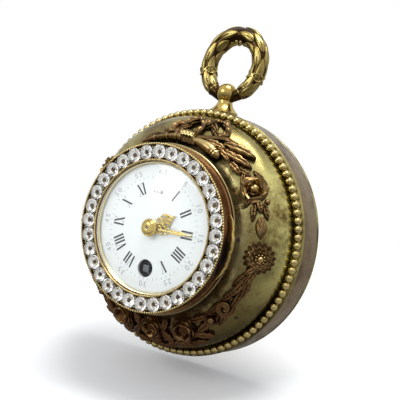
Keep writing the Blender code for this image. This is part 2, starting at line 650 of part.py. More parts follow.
def make_pendant_screw():
    """Makes the screw that holds the pendant from inside the band."""
    top = BAND_BORE + PENDANT_SCREW_LENGTH - CLEARANCE
    head_top = math.sqrt(BAND_BORE ** 2 - PENDANT_SCREW_HEAD ** 2) - CLEARANCE
    head_bottom = head_top - PENDANT_SCREW_HEAD_HEIGHT
    outline = [(0, head_bottom), (PENDANT_SCREW_HEAD, head_bottom), (PENDANT_SCREW_HEAD, head_top),
               (PENDANT_SCREW_RADIUS, head_top), (PENDANT_SCREW_RADIUS, top), (0, top)]
    made("pendant_screw", turned_mesh(outline, 8, upright=True), "steel", forward=PENDANT_FORWARD)


def ring_sections():
    """Gives the right half of the ring as (place, tilt, tube radius, relief, leaf row) sections.

    A stub runs out of the ball to a collar, and then the leaves climb the oval to the top.
    """
    end_x = BALL_RADIUS + 2 * CLEARANCE
    end_turn = math.asin(end_x / RING_HALF_WIDTH)
    middle = RING_HALF_HEIGHT * math.cos(end_turn)
    sections = [((end_x - CLEARANCE - RING_STUB_LENGTH, 0), 0.0, RING_STUB_RADIUS, 0.0, 0),
                ((end_x, 0), 0.0, RING_STUB_RADIUS, 0.0, 0),
                ((end_x, 0), 0.0, RING_COLLAR_RADIUS, 0.0, 0)]
    leaf_turn = (math.pi - end_turn) / (RING_LEAF_ROWS + 0.5)
    for row in range(RING_LEAF_ROWS):
        for along, swell in RING_LEAF_SHARES:
            turn = end_turn + leaf_turn * (0.5 + row + along)
            relief = RING_LEAF_RELIEF * swell + RING_TOP_RELIEF * math.sin((turn - end_turn) / 2) ** 2
            place = (RING_HALF_WIDTH * math.sin(turn), middle - RING_HALF_HEIGHT * math.cos(turn))
            tilt = math.atan2(RING_HALF_HEIGHT * math.sin(turn), RING_HALF_WIDTH * math.cos(turn))
            sections.append((place, tilt, RING_TUBE_RADIUS, relief, row))
    return sections


def make_wreath_ring():
    """Carries a tube round the oval and swells it into overlapping laurel leaves.

    The object's origin is on the pivot, and the ring leans back from it.
    """
    right = ring_sections()
    left = [((-place[0], place[1]), -tilt, radius, relief, row)
            for place, tilt, radius, relief, row in right[::-1]]
    mesh = bmesh.new()
    rows = []
    for (x, z), tilt, radius, relief, row in right + left:
        outward = Vector((math.sin(tilt), 0, -math.cos(tilt)))
        forward = Vector((0, -1, 0))
        corners = []
        for side in range(RING_SIDES):
            angle = FULL_TURN * side / RING_SIDES
            lobe = 1.0 if (side // 2 + row) % 2 == 0 else RING_GROOVE_SHARE
            reach = radius + relief * lobe
            corner = outward * (reach * math.cos(angle)) + forward * (reach * math.sin(angle))
            corners.append(mesh.verts.new(corner + Vector((x, 0, z))))
        rows.append(corners)
    for lower, upper in zip(rows, rows[1:]):
        for index in range(RING_SIDES):
            after = (index + 1) % RING_SIDES
            mesh.faces.new((lower[index], lower[after], upper[after], upper[index]))
    mesh.faces.new(rows[0])
    mesh.faces.new(rows[-1])
    ring = made("wreath_ring", mesh, "bright_gilt")
    ring.location = (0, -PENDANT_FORWARD, BALL_CENTRE)
    ring.rotation_euler = (-RING_LEAN, 0, 0)


# Bezel


def make_bezel():
    """Turns the bezel: a skirt, a channel, a bore and a lip over the glass, and sets the stones.

    The stones' backs are sunk in the channel's floor, so they are one with it.
    """
    underside = CHANNEL_FLOOR - BEZEL_FLOOR
    lip_back = BEZEL_FRONT - BEZEL_LIP_THICKNESS
    lip_inner = BEZEL_BORE - BEZEL_LIP
    wall_inner = BEZEL_RADIUS - BEZEL_WALL
    outline = [(BEZEL_RADIUS, BEZEL_BACK), (BEZEL_RADIUS, BEZEL_FRONT), (CHANNEL_OUTER, BEZEL_FRONT)]
    outline += [(CHANNEL_OUTER, CHANNEL_FLOOR), (CHANNEL_INNER, CHANNEL_FLOOR), (CHANNEL_INNER, BEZEL_FRONT)]
    outline += [(lip_inner, BEZEL_FRONT), (lip_inner, lip_back), (BEZEL_BORE, lip_back)]
    outline += [(BEZEL_BORE, underside), (wall_inner, underside), (wall_inner, BEZEL_BACK)]
    bezel = turned("bezel", outline, "red_brass")
    stones = [stone_mesh(STONE_FIRST_ANGLE + FULL_TURN * index / STONE_COUNT)
              for index in range(STONE_COUNT)]
    boolean(bezel, made("paste_stones", joined(stones)), "UNION")
    return bezel


def stone_mesh(around):
    """Cuts one round stone with a flat table and a sloped crown, its back sunk in the channel."""
    table = circle(STONE_DIAMETER / 2 * STONE_TABLE_SHARE, STONE_SIDES, start=around)
    girdle = circle(STONE_DIAMETER / 2, STONE_SIDES, start=around)
    mesh = stacked_mesh([(CHANNEL_FLOOR - STONE_SINK, girdle), (CHANNEL_FLOOR + STONE_HEIGHT, table)])
    return moved_mesh(mesh, polar(STONE_CIRCLE, around))


def dial_forward(radius):
    """Gives how far forward the domed dial's face lies at a radius."""
    return DIAL_FRONT - DIAL_DOME * (radius / DIAL_RADIUS) ** 2


SIGHT_BACK = dial_forward(DIAL_OPENING_RADIUS) + CLEARANCE
GLASS_BACK = SIGHT_BACK + SIGHT_THICKNESS + CLEARANCE


def make_sight_ring():
    """Makes the sloped gilt ring that shows between the glass and the dial."""
    outer = BEZEL_BORE - CLEARANCE
    outline = [(DIAL_OPENING_RADIUS, SIGHT_BACK), (outer, SIGHT_BACK), (outer, SIGHT_BACK + SIGHT_THICKNESS)]
    return turned("sight_ring", outline, "bright_gilt")


def make_glass():
    """Makes the domed crystal with its flat edge under the bezel's lip."""
    top = GLASS_BACK + GLASS_EDGE
    seat = GLASS_RADIUS - GLASS_SEAT
    curve_radius = (seat ** 2 + GLASS_RISE ** 2) / (2 * GLASS_RISE)
    middle = top + GLASS_RISE - curve_radius
    inner_radius = curve_radius - GLASS_THICKNESS
    inner_seat = math.sqrt(inner_radius ** 2 - (GLASS_BACK - middle) ** 2)
    outer = [(seat * share, middle + math.sqrt(curve_radius ** 2 - (seat * share) ** 2))
             for share in GLASS_OUTER_SHARES]
    inner = [(inner_seat * share, middle + math.sqrt(inner_radius ** 2 - (inner_seat * share) ** 2))
             for share in GLASS_INNER_SHARES]
    outline = outer + [(GLASS_RADIUS, top), (GLASS_RADIUS, GLASS_BACK)] + inner
    return turned("glass", outline, "clear_glass", GLASS_STEPS)


def knuckle_outline(first, last):
    """Gives the round part of a knuckle from one angle on to another."""
    steps = 7
    return [polar(KNUCKLE_RADIUS, first + (last - first) * step / steps) for step in range(steps + 1)]


def hinge_mesh(outline, low, high):
    """Stands a hinge outline, drawn as (across, forward) from the pin, along the pin."""
    bore = circle(HINGE_PIN_RADIUS + CLEARANCE, 6)
    mesh = flat_mesh([outline, bore], -high, -low)
    bmesh.ops.rotate(mesh, verts=mesh.verts, cent=(0, 0, 0), matrix=Matrix.Rotation(math.pi / 2, 3, "X"))
    return mesh


def make_hinge():
    """Makes the case's two lugs, the bezel's knuckle between them and the pin through all."""
    lug_inner = KNUCKLE_RADIUS
    lug_outer = KNUCKLE_RADIUS - HINGE_LEAF
    start = -math.acos(lug_outer / KNUCKLE_RADIUS)
    lug = knuckle_outline(start, -FULL_TURN)
    lug += [(lug_inner, -LUG_LEAF_LENGTH), (lug_outer, -LUG_LEAF_LENGTH)]
    near = KNUCKLE_LENGTH / 2 + CLEARANCE
    far = near + LUG_LENGTH
    place = (HINGE_X, 0)
    made("hinge_lug_upper", hinge_mesh(lug, near, far), "aged_brass", place, HINGE_FORWARD)
    made("hinge_lug_lower", hinge_mesh(lug, -far, -near), "aged_brass", place, HINGE_FORWARD)

    leaf_inner = -HINGE_X - BEZEL_RADIUS - CLEARANCE
    leaf_outer = KNUCKLE_RADIUS - HINGE_LEAF
    knuckle = knuckle_outline(math.acos(leaf_outer / KNUCKLE_RADIUS), FULL_TURN + KNUCKLE_OVERLAP)
    rise = knuckle[-1][1]
    knuckle += [(leaf_inner, rise), (leaf_inner, KNUCKLE_LEAF_LENGTH), (leaf_outer, KNUCKLE_LEAF_LENGTH)]
    half = KNUCKLE_LENGTH / 2
    bezel_knuckle = made("bezel_knuckle", hinge_mesh(knuckle, -half, half), "red_brass", place, HINGE_FORWARD)

    end = far + HINGE_PIN_OVERHANG
    outline = [(0, -end), (HINGE_PIN_RADIUS, -end), (HINGE_PIN_RADIUS, end), (0, end)]
    pin = turned_mesh(outline, 8, upright=True)
    made("hinge_pin", pin, "steel", place, HINGE_FORWARD)
    return bezel_knuckle


def make_thumb_lift():
    """Makes the lip beside three o'clock that a thumb nail opens the bezel by."""
    inner = []
    outer = []
    inner_radius = BEZEL_RADIUS + CLEARANCE
    for step in range(LIFT_STEPS + 1):
        share = 2 * step / LIFT_STEPS - 1
        angle = LIFT_ANGLE + LIFT_HALF_ANGLE * share
        inner.append(polar(inner_radius, angle))
        outer.append(polar(inner_radius + LIFT_EDGE + (LIFT_REACH - LIFT_EDGE) * (1 - share ** 2), angle))
    back = BEZEL_BACK + LIFT_SET_BACK
    return flat_piece("thumb_lift", [inner + outer[::-1]], back, back + LIFT_DEPTH, "bright_gilt")


def make_bezel_group():
    """Hangs everything that opens with the bezel on an empty on the hinge's axis."""
    pivot = bpy.data.objects.new("bezel_pivot", None)
    pivot.location = (HINGE_X, -HINGE_FORWARD, 0)
    bpy.context.scene.collection.objects.link(pivot)
    pieces = [make_bezel(), make_sight_ring(), make_glass(), make_hinge(), make_thumb_lift()]
    for piece in pieces:
        piece.parent = pivot
        piece.matrix_parent_inverse = Matrix.Translation(pivot.location).inverted()


# Dial and hands


def make_dial():
    """Makes the domed enamel dial with its centre hole, its winding hole and its feet."""
    hole_radius = HOUR_PIPE_RADIUS + CLEARANCE
    radii = (hole_radius, DIAL_RADIUS * DIAL_BEND_SHARE, DIAL_RADIUS)
    outline = [(radius, dial_forward(radius)) for radius in radii]
    outline += [(radius, dial_forward(radius) - DIAL_THICKNESS) for radius in radii[::-1]]
    dial = turned("dial", outline, "enamel", steps=GLASS_STEPS)
    behind = DIAL_FRONT - DIAL_DOME - DIAL_THICKNESS - OVERRUN
    cutter = bar(WINDING_HOLE_RADIUS, behind, DIAL_FRONT + OVERRUN, SMALL_STEPS)
    boolean(dial, made("winding_hole", cutter, centre=BARREL), "DIFFERENCE")
    front = dial_forward(DIAL_FOOT_CIRCLE) - DIAL_THICKNESS + DIAL_FOOT_ROOT
    back = FRONT_PLATE_FRONT - DIAL_FOOT_GRIP
    feet = [moved_mesh(bar(DIAL_FOOT_RADIUS, back, front), polar(DIAL_FOOT_CIRCLE, angle))
            for angle in DIAL_FOOT_ANGLES]
    boolean(dial, made("dial_feet", joined(feet)), "UNION")


def make_hand(name, length, width, bore, back, clock_angle):
    """Saws one pierced hand from sheet: a ring for the pipe, a swelling with an eye and a tip."""
    boss = bore + HAND_BOSS_WALL
    stem_angle = math.asin(HAND_STEM / 2 / boss)
    start = boss * math.cos(stem_angle)
    reach = length - start
    right = []
    for along, side in zip(HAND_LENGTH_SHARES, HAND_WIDTH_SHARES):
        half = HAND_STEM / 2 + (width - HAND_STEM) / 2 * side
        right.append((half, start + reach * along))
    right[-1] = (0, length)
    left = [(-x, z) for x, z in right[-2::-1]]
    sweep = FULL_TURN - 2 * stem_angle
    ring = [polar(boss, FULL_TURN / 4 + stem_angle + sweep * step / SMALL_STEPS)
            for step in range(1, SMALL_STEPS)]
    eye_side = [(width / 2 * side, start + reach * along) for along, side in HAND_EYE_SHARES]
    eye = eye_side + [(-x, z) for x, z in eye_side[-2:0:-1]]
    loops = [right + left + ring, circle(bore, SMALL_STEPS), eye]
    hand = flat_piece(name, loops, back, back + HAND_THICKNESS, "bright_gilt")
    hand.rotation_euler = (0, clock_angle, 0)


def make_hands():
    """Makes both hands and the domed collet that holds them on."""
    make_hand("hour_hand", HOUR_HAND_LENGTH, HOUR_HAND_WIDTH, HOUR_PIPE_RADIUS + CLEARANCE,
              HOUR_HAND_BACK, HOUR_HAND_CLOCK_ANGLE)
    make_hand("minute_hand", MINUTE_HAND_LENGTH, MINUTE_HAND_WIDTH, CANNON_PIPE_RADIUS + CLEARANCE,
              MINUTE_HAND_BACK, MINUTE_HAND_CLOCK_ANGLE)
    outline = [(ARBOR_HOLE, COLLET_BACK), (COLLET_RADIUS, COLLET_BACK),
               (COLLET_RADIUS, COLLET_BACK + COLLET_EDGE), (COLLET_RADIUS / 2, COLLET_FRONT),
               (ARBOR_HOLE, COLLET_FRONT)]
    turned("hand_collet", outline, "bright_gilt", SMALL_STEPS)


# Movement


def gear(teeth, radius, phase):
    """Gives a wheel's outline, with a tip and a root for each tooth."""
    module = 2 * radius / teeth
    points = []
    for tooth in range(teeth):
        angle = phase + FULL_TURN * tooth / teeth
        points.append(polar(radius + ADDENDUM_SHARE * module, angle))
        points.append(polar(radius - DEDENDUM_SHARE * module, angle + math.pi / teeth))
    return points


def facing(direction, leaves):
    """Gives the phase of a pinion that meshes with a wheel lying back along a direction."""
    return direction + math.pi + math.pi / leaves


def make_wheel(name, teeth, radius, place, back, phase):
    """Cuts one train wheel with a bore for its arbor."""
    loops = [gear(teeth, radius, phase), circle(ARBOR_HOLE, 6)]
    flat_piece(name, loops, back, back + WHEEL_THICKNESS, "movement_brass", place)


def make_arbor(name, place, leaves, radius, pinion_back, pinion_length, phase, front=None):
    """Turns an arbor with its pinion; it runs from plate to plate, or on to a given front."""
    sides = 2 * leaves
    rod = circle(ARBOR_RADIUS, sides, start=phase)
    teeth = gear(leaves, radius, phase)
    back = BACK_PLATE_FRONT - PIVOT_REACH
    front = front or FRONT_PLATE_BACK + PIVOT_REACH
    sections = [(back, rod), (pinion_back, rod), (pinion_back, teeth)]
    sections += [(pinion_back + pinion_length, teeth), (pinion_back + pinion_length, rod), (front, rod)]
    made(name, stacked_mesh(sections), "steel", place)


def make_train():
    """Makes the wheels and arbors that run from the barrel up to the escape wheel."""
    centre_radius = TRAIN_MODULE * CENTRE_TEETH / 2
    third_radius = TRAIN_MODULE * THIRD_TEETH / 2
    fourth_radius = FOURTH_MODULE * FOURTH_TEETH / 2
    up = FULL_TURN / 4
    make_arbor("centre_arbor", CENTRE, CENTRE_LEAVES, BARREL_MODULE * CENTRE_LEAVES / 2,
               TRAIN_BACK - CLEARANCE, WHEEL_THICKNESS + PINION_LENGTH / 2, facing(up, CENTRE_LEAVES),
               COLLET_BACK + ARBOR_END_LENGTH)
    make_wheel("centre_wheel", CENTRE_TEETH, centre_radius, CENTRE, CENTRE_WHEEL_BACK, THIRD_ANGLE)
    make_arbor("third_arbor", THIRD, THIRD_LEAVES, TRAIN_MODULE * THIRD_LEAVES / 2,
               CENTRE_WHEEL_BACK - WHEEL_THICKNESS, PINION_LENGTH, facing(THIRD_ANGLE, THIRD_LEAVES))
    make_wheel("third_wheel", THIRD_TEETH, third_radius, THIRD, THIRD_WHEEL_BACK, FOURTH_ANGLE)
    make_arbor("fourth_arbor", FOURTH, FOURTH_LEAVES, TRAIN_MODULE * FOURTH_LEAVES / 2,
               THIRD_WHEEL_BACK - WHEEL_THICKNESS, PINION_LENGTH, facing(FOURTH_ANGLE, FOURTH_LEAVES))
    make_wheel("fourth_wheel", FOURTH_TEETH, fourth_radius, FOURTH, FOURTH_WHEEL_BACK, ESCAPE_ANGLE)
    make_arbor("escape_arbor", ESCAPE, ESCAPE_LEAVES, FOURTH_MODULE * ESCAPE_LEAVES / 2,
               FOURTH_WHEEL_BACK - WHEEL_THICKNESS, PINION_LENGTH, facing(ESCAPE_ANGLE, ESCAPE_LEAVES))
    teeth = []
    for tooth in range(ESCAPE_TEETH):
        angle = ESCAPEMENT_ANGLE + FULL_TURN * (tooth + 0.5) / ESCAPE_TEETH
        teeth.append(polar(ESCAPE_RADIUS, angle))
        lean = FULL_TURN / ESCAPE_TEETH * ESCAPE_LEAN_SHARE
        teeth.append(polar(ESCAPE_RADIUS - ESCAPE_TOOTH, angle + lean))
    front = ESCAPE_WHEEL_BACK + WHEEL_THICKNESS
    loops = [teeth, circle(ARBOR_HOLE, 6)]
    flat_piece("escape_wheel", loops, ESCAPE_WHEEL_BACK, front, "movement_brass", ESCAPE)


def make_barrel():
    """Makes the spring barrel: a toothed wheel and the plain drum on it, bored for the arbor."""
    radius = BARREL_MODULE * BARREL_TEETH / 2
    bore = WINDING_RADIUS + CLEARANCE
    front = TRAIN_BACK + WHEEL_THICKNESS
    loops = [gear(BARREL_TEETH, radius, FULL_TURN / 4), circle(bore, 8)]
    flat_piece("barrel_wheel", loops, TRAIN_BACK, front, "movement_brass", BARREL)
    back = front + CLEARANCE
    outline = [(bore, back), (BARREL_RADIUS, back), (BARREL_RADIUS, BARREL_FRONT), (bore, BARREL_FRONT)]
    turned("barrel_drum", outline, "movement_brass", DRUM_STEPS, BARREL)


def square(half, sides=8):
    """Gives a square outline with a point at each corner and each side's middle."""
    reaches = (half, half * math.sqrt(2))
    return [polar(reaches[side % 2], FULL_TURN * side / sides) for side in range(sides)]


WINDING_SQUARE = (WINDING_RADIUS - WINDING_SQUARE_INSET) / math.sqrt(2)


def make_winding():
    """Makes the winding arbor with its square, and the ratchet, click and screw that hold it."""
    shoulder = FRONT_PLATE_FRONT + CLEARANCE / 2
    back = BACK_PLATE_FRONT - PIVOT_REACH
    front = DIAL_FRONT - WINDING_SET_BACK
    round_part = circle(WINDING_RADIUS, 8)
    sections = [(back, round_part), (shoulder, round_part), (shoulder, square(WINDING_SQUARE)),
                (front, square(WINDING_SQUARE))]
    made("winding_arbor", stacked_mesh(sections), "steel", BARREL)
    teeth = []
    lean = FULL_TURN / RATCHET_TEETH * ESCAPE_LEAN_SHARE
    for tooth in range(RATCHET_TEETH):
        angle = CLICK_NOSE_ANGLE + FULL_TURN * tooth / RATCHET_TEETH
        teeth.append(polar(RATCHET_RADIUS, angle))
        teeth.append(polar(RATCHET_RADIUS - RATCHET_TOOTH, angle + lean))
    ratchet_back = FRONT_PLATE_FRONT + CLEARANCE
    ratchet_front = ratchet_back + WHEEL_THICKNESS
    loops = [teeth, square(WINDING_SQUARE + CLEARANCE)]
    flat_piece("ratchet_wheel", loops, ratchet_back, ratchet_front, "steel", BARREL)
    nose_x, nose_z = stepped(BARREL, RATCHET_RADIUS + CLICK_NOSE_GAP, CLICK_NOSE_ANGLE)
    toward = math.atan2(nose_z - CLICK[1], nose_x - CLICK[0])
    length = math.hypot(nose_z - CLICK[1], nose_x - CLICK[0])
    sweep = FULL_TURN - 2 * CLICK_OPENING
    outline = [polar(CLICK_RADIUS, toward + CLICK_OPENING + sweep * step / 6) for step in range(7)]
    heel = math.atan2(CLICK_NOSE, length)
    outline += [polar(length, toward - 2 * heel), polar(length, toward)]
    flat_piece("click", [outline, circle(SCREW_HOLE, 8)], ratchet_back, ratchet_front, "steel", CLICK)
    seat = ratchet_front + CLEARANCE
    end = FRONT_PLATE_BACK + CLEARANCE
    head_front = seat + SCREW_HEAD_HEIGHT
    screw = [(0, end), (SCREW_SHANK_RADIUS, end), (SCREW_SHANK_RADIUS, seat),
             (SCREW_HEAD_RADIUS, seat), (SCREW_HEAD_RADIUS, head_front), (0, head_front)]
    turned("click_screw", screw, "steel", SCREW_SIDES, CLICK)


def make_escapement():
    """Makes the lever with its pallets and fork, and the balance on its staff."""
    outline = [(-PALLET_DROP, PALLET_SPAN), (LEVER_WIDTH / 2, PALLET_SPAN), (LEVER_HUB, LEVER_WIDTH),
               (LEVER_LENGTH - FORK_DEPTH, LEVER_WIDTH / 2), (LEVER_LENGTH, FORK_WIDTH / 2),
               (LEVER_LENGTH, FORK_WIDTH / 4), (LEVER_LENGTH - FORK_DEPTH / 2, 0)]
    outline += [(x, -z) for x, z in outline[-2::-1]]
    pallet_inner = PALLET_SPAN - PALLET_WIDTH
    outline += [(-PALLET_DROP, -pallet_inner), (PALLET_WIDTH - PALLET_DROP, -pallet_inner), (-LEVER_HUB, 0),
                (PALLET_WIDTH - PALLET_DROP, pallet_inner), (-PALLET_DROP, pallet_inner)]
    loops = [outline, circle(ARBOR_HOLE, 6)]
    lever = flat_piece("lever", loops, LEVER_BACK, LEVER_BACK + WHEEL_THICKNESS, "steel", LEVER)
    lever.rotation_euler = (0, -ESCAPEMENT_ANGLE, 0)
    back = BACK_PLATE_FRONT - PIVOT_REACH
    front = FRONT_PLATE_BACK + PIVOT_REACH
    made("lever_arbor", bar(ARBOR_RADIUS, back, front), "steel", LEVER)

    wheel_front = BACK_PLATE_BACK - BALANCE_DROP
    rim = BALANCE_RADIUS - BALANCE_RIM
    side = math.asin(BALANCE_ARM / 2 / rim)
    halves = []
    for start in (0, math.pi):
        halves.append([polar(rim, start + side + (math.pi - 2 * side) * step / 7) for step in range(8)])
    flat_piece("balance_wheel", [circle(BALANCE_RADIUS, 24), circle(ARBOR_HOLE, 8)] + halves,
               wheel_front - WHEEL_THICKNESS, wheel_front, "movement_brass", BALANCE)
    arm_back = BACK_PLATE_BACK - CLEARANCE - COCK_HEIGHT - COCK_THICKNESS
    staff = bar(ARBOR_RADIUS, arm_back + COCK_THICKNESS / 2, BACK_PLATE_BACK + PIVOT_REACH / 2)
    made("balance_staff", staff, "steel", BALANCE)


def make_balance_cock():
    """Bends a cock over the balance: an arm for the staff's pivot and a foot on the plate."""
    foot_front = BACK_PLATE_BACK - CLEARANCE
    arm_front = foot_front - COCK_HEIGHT
    arm_back = arm_front - COCK_THICKNESS
    half = COCK_WIDTH / 2
    side = [(-half, -arm_back), (COCK_REACH + half, -arm_back), (COCK_REACH + half, -foot_front),
            (COCK_REACH - half, -foot_front), (COCK_REACH - half, -arm_front), (-half, -arm_front)]
    mesh = flat_mesh([side], -half, half)
    bmesh.ops.rotate(mesh, verts=mesh.verts, cent=(0, 0, 0), matrix=Matrix.Rotation(-math.pi / 2, 3, "X"))
    cock = made("balance_cock", mesh, "movement_brass", BALANCE)
    cock.rotation_euler = (0, -COCK_ANGLE, 0)
    drills = [moved_mesh(bar(ARBOR_HOLE, arm_back - OVERRUN, arm_front + OVERRUN), BALANCE),
              moved_mesh(bar(SCREW_HOLE, arm_back - OVERRUN, foot_front + OVERRUN), COCK_FOOT)]
    boolean(cock, made("cock_drills", joined(drills)), "DIFFERENCE")
    head_front = arm_back - CLEARANCE
    end = BACK_PLATE_BACK + PLATE_THICKNESS / 2
    screw = [(0, head_front - SCREW_HEAD_HEIGHT), (SCREW_HEAD_RADIUS, head_front - SCREW_HEAD_HEIGHT),
             (SCREW_HEAD_RADIUS, head_front), (SCREW_SHANK_RADIUS, head_front), (SCREW_SHANK_RADIUS, end),
             (0, end)]
    turned("cock_screw", screw, "steel", SCREW_SIDES, COCK_FOOT)


def make_motion_work():
    """Makes the cannon pinion, minute wheel and hour wheel that drive the hands."""
    cannon_radius = MOTION_DISTANCE * CANNON_LEAVES / (CANNON_LEAVES + MINUTE_TEETH)
    minute_radius = MOTION_DISTANCE - cannon_radius
    leaf_radius = MOTION_DISTANCE * MINUTE_LEAVES / (MINUTE_LEAVES + HOUR_TEETH)
    hour_radius = MOTION_DISTANCE - leaf_radius
    phase = facing(MINUTE_ANGLE + math.pi, CANNON_LEAVES)
    cannon_front = CANNON_BACK + WHEEL_THICKNESS + CLEARANCE
    teeth = gear(CANNON_LEAVES, cannon_radius, phase)
    pipe = circle(CANNON_PIPE_RADIUS, 2 * CANNON_LEAVES, start=phase)
    sections = [(CANNON_BACK, teeth), (cannon_front, teeth), (cannon_front + CLEARANCE, pipe),
                (MINUTE_HAND_BACK + HAND_THICKNESS, pipe)]
    made("cannon_pinion", bored(sections, CANNON_BORE, phase), "steel")

    stud_hole = MINUTE_STUD_RADIUS + CLEARANCE
    wheel_front = CANNON_BACK + WHEEL_THICKNESS
    loops = [gear(MINUTE_TEETH, minute_radius, MINUTE_ANGLE + math.pi)]
    minute = flat_piece("minute_wheel", loops, CANNON_BACK, wheel_front, "movement_brass", MINUTE)
    pinion_front = HOUR_WHEEL_BACK + WHEEL_THICKNESS
    leaves = gear(MINUTE_LEAVES, leaf_radius, facing(MINUTE_ANGLE, MINUTE_LEAVES))
    pinion = flat_mesh([leaves], wheel_front - WHEEL_THICKNESS / 2, pinion_front)
    boolean(minute, made("minute_leaves", pinion, centre=MINUTE), "UNION")
    bore = bar(stud_hole, CANNON_BACK - OVERRUN, pinion_front + OVERRUN, sides=6)
    boolean(minute, made("minute_bore", bore, centre=MINUTE), "DIFFERENCE")
    stud = bar(MINUTE_STUD_RADIUS, FRONT_PLATE_BACK + CLEARANCE, pinion_front + CLEARANCE)
    made("minute_stud", stud, "steel", MINUTE)

    wheel_front = HOUR_WHEEL_BACK + WHEEL_THICKNESS
    loops = [gear(HOUR_TEETH, hour_radius, MINUTE_ANGLE)]
    hour = flat_piece("hour_wheel", loops, HOUR_WHEEL_BACK, wheel_front, "movement_brass")
    root = wheel_front - WHEEL_THICKNESS / 2
    pipe = bar(HOUR_PIPE_RADIUS, root, HOUR_HAND_BACK + HAND_THICKNESS, SMALL_STEPS)
    boolean(hour, made("hour_pipe", pipe), "UNION")
    bore = bar(HOUR_BORE, HOUR_WHEEL_BACK - OVERRUN, MINUTE_HAND_BACK + OVERRUN, SMALL_STEPS)
    boolean(hour, made("hour_bore", bore), "DIFFERENCE")


def bored(sections, bore, phase):
    """Stacks sections round a bore."""
    count = len(sections[0][1])
    inside = circle(bore, count, start=phase)
    ring = sections + [(sections[-1][0], inside), (sections[0][0], inside)]
    mesh = bmesh.new()
    rows = [[mesh.verts.new((x, -forward, z)) for x, z in outline] for forward, outline in ring]
    for lower, upper in zip(rows, rows[1:] + rows[:1]):
        for index in range(count):
            after = (index + 1) % count
            mesh.faces.new((lower[index], lower[after], upper[after], upper[index]))
    return mesh


def make_frame():
    """Makes the two plates with their holes, the back one's riveted pillars and the screws."""
    pillar_places = [polar(PILLAR_CIRCLE, angle) for angle in PILLAR_ANGLES]
    arbor_places = [CENTRE, THIRD, FOURTH, ESCAPE, LEVER]
    loops = [circle(PLATE_RADIUS, PLATE_STEPS)]
    loops += [hole(ARBOR_HOLE, place) for place in arbor_places + [BALANCE]]
    loops += [hole(WINDING_RADIUS + CLEARANCE, BARREL), hole(SCREW_HOLE, COCK_FOOT)]
    back_plate = flat_piece("back_plate", loops, BACK_PLATE_BACK, BACK_PLATE_FRONT, "movement_brass")
    root = BACK_PLATE_FRONT - PILLAR_ROOT
    front = FRONT_PLATE_BACK - CLEARANCE
    floor = front - PILLAR_SCREW_LENGTH
    outline = [(0, root), (PILLAR_RADIUS, root), (PILLAR_RADIUS, front),
               (SCREW_HOLE, front), (SCREW_HOLE, floor), (0, floor)]
    pillars = joined([moved_mesh(turned_mesh(outline, 8), place) for place in pillar_places])
    boolean(back_plate, made("pillars", pillars), "UNION")
    loops = [circle(PLATE_RADIUS, PLATE_STEPS)]
    loops += [hole(ARBOR_HOLE, place) for place in arbor_places]
    loops += [hole(SCREW_HOLE, place) for place in pillar_places + list(FRAME_SCREW_PLACES) + [CLICK]]
    foot_hole = DIAL_FOOT_RADIUS + CLEARANCE
    loops += [hole(foot_hole, polar(DIAL_FOOT_CIRCLE, angle)) for angle in DIAL_FOOT_ANGLES]
    loops += [hole(WINDING_RADIUS + CLEARANCE, BARREL), hole(MINUTE_STUD_RADIUS + CLEARANCE, MINUTE)]
    flat_piece("front_plate", loops, FRONT_PLATE_BACK, FRONT_PLATE_FRONT, "movement_brass")

    head_back = FRONT_PLATE_FRONT + CLEARANCE
    end = floor + CLEARANCE
    outline = [(0, end), (SCREW_SHANK_RADIUS, end), (SCREW_SHANK_RADIUS, head_back),
               (SCREW_HEAD_RADIUS, head_back), (SCREW_HEAD_RADIUS, head_back + SCREW_HEAD_HEIGHT),
               (0, head_back + SCREW_HEAD_HEIGHT)]
    for number, place in enumerate(pillar_places, start=1):
        turned("plate_screw_" + str(number), outline, "steel", SCREW_SIDES, place)

    head_front = FRONT_PLATE_BACK - CLEARANCE
    end = COLLAR_FRONT - CLEARANCE
    outline = [(0, head_front - SCREW_HEAD_HEIGHT), (SCREW_HEAD_RADIUS, head_front - SCREW_HEAD_HEIGHT),
               (SCREW_HEAD_RADIUS, head_front), (SCREW_SHANK_RADIUS, head_front), (SCREW_SHANK_RADIUS, end),
               (0, end)]
    for number, place in enumerate(FRAME_SCREW_PLACES, start=1):
        turned("movement_screw_" + str(number), outline, "steel", SCREW_SIDES, place)


# Gilt mounts


def dome_frame(clock_angle, share):
    """Gives a place on the dome with its clockwise, edgeward and outward directions.

    The share runs from the dome's foot at 0 to its edge at 1, measured by radius.
    """
    radius = DOME_FOOT_RADIUS + share * DOME_WIDTH
    low, high = 0.0, 1.0
    for _ in range(30):
        middle = (low + high) / 2
        if curve(*DOME_CORNERS, middle)[0] > radius:
            low = middle
        else:
            high = middle
    before = curve(*DOME_CORNERS, max(low - SLOPE_STEP_SHARE, 0))
    after = curve(*DOME_CORNERS, min(low + SLOPE_STEP_SHARE, 1))
    forward = curve(*DOME_CORNERS, low)[1]
    edgeward = Vector((before[0] - after[0], before[1] - after[1])).normalized()
    sine, cosine = math.sin(clock_angle), math.cos(clock_angle)
    place = Vector((radius * sine, -forward, radius * cosine))
    clockwise = Vector((cosine, 0, -sine))
    down = Vector((edgeward.x * sine, -edgeward.y, edgeward.x * cosine))
    outward = clockwise.cross(down)
    return place, clockwise, down, outward


def set_on_dome(mesh, clock_degrees, share, heading_degrees=0):
    """Seats a mount on the dome; its heading turns from the clockwise way to the edge."""
    place, clockwise, down, outward = dome_frame(math.radians(clock_degrees), share)
    heading = math.radians(heading_degrees)
    along = clockwise * math.cos(heading) + down * math.sin(heading)
    across = outward.cross(along)
    matrix = Matrix((along, across, outward)).transposed().to_4x4()
    matrix.translation = place
    bmesh.ops.transform(mesh, verts=mesh.verts, matrix=matrix)
    return mesh


LEAF_BASE_SHARES = ((-1, 0), (-0.3, 1), (0.4, 0.75), (1, 0), (0.4, -0.75), (-0.3, -1))
LEAF_RIB_SHARES = (-0.4, 0.35)
LEAF_TIP_SHARE = 0.4


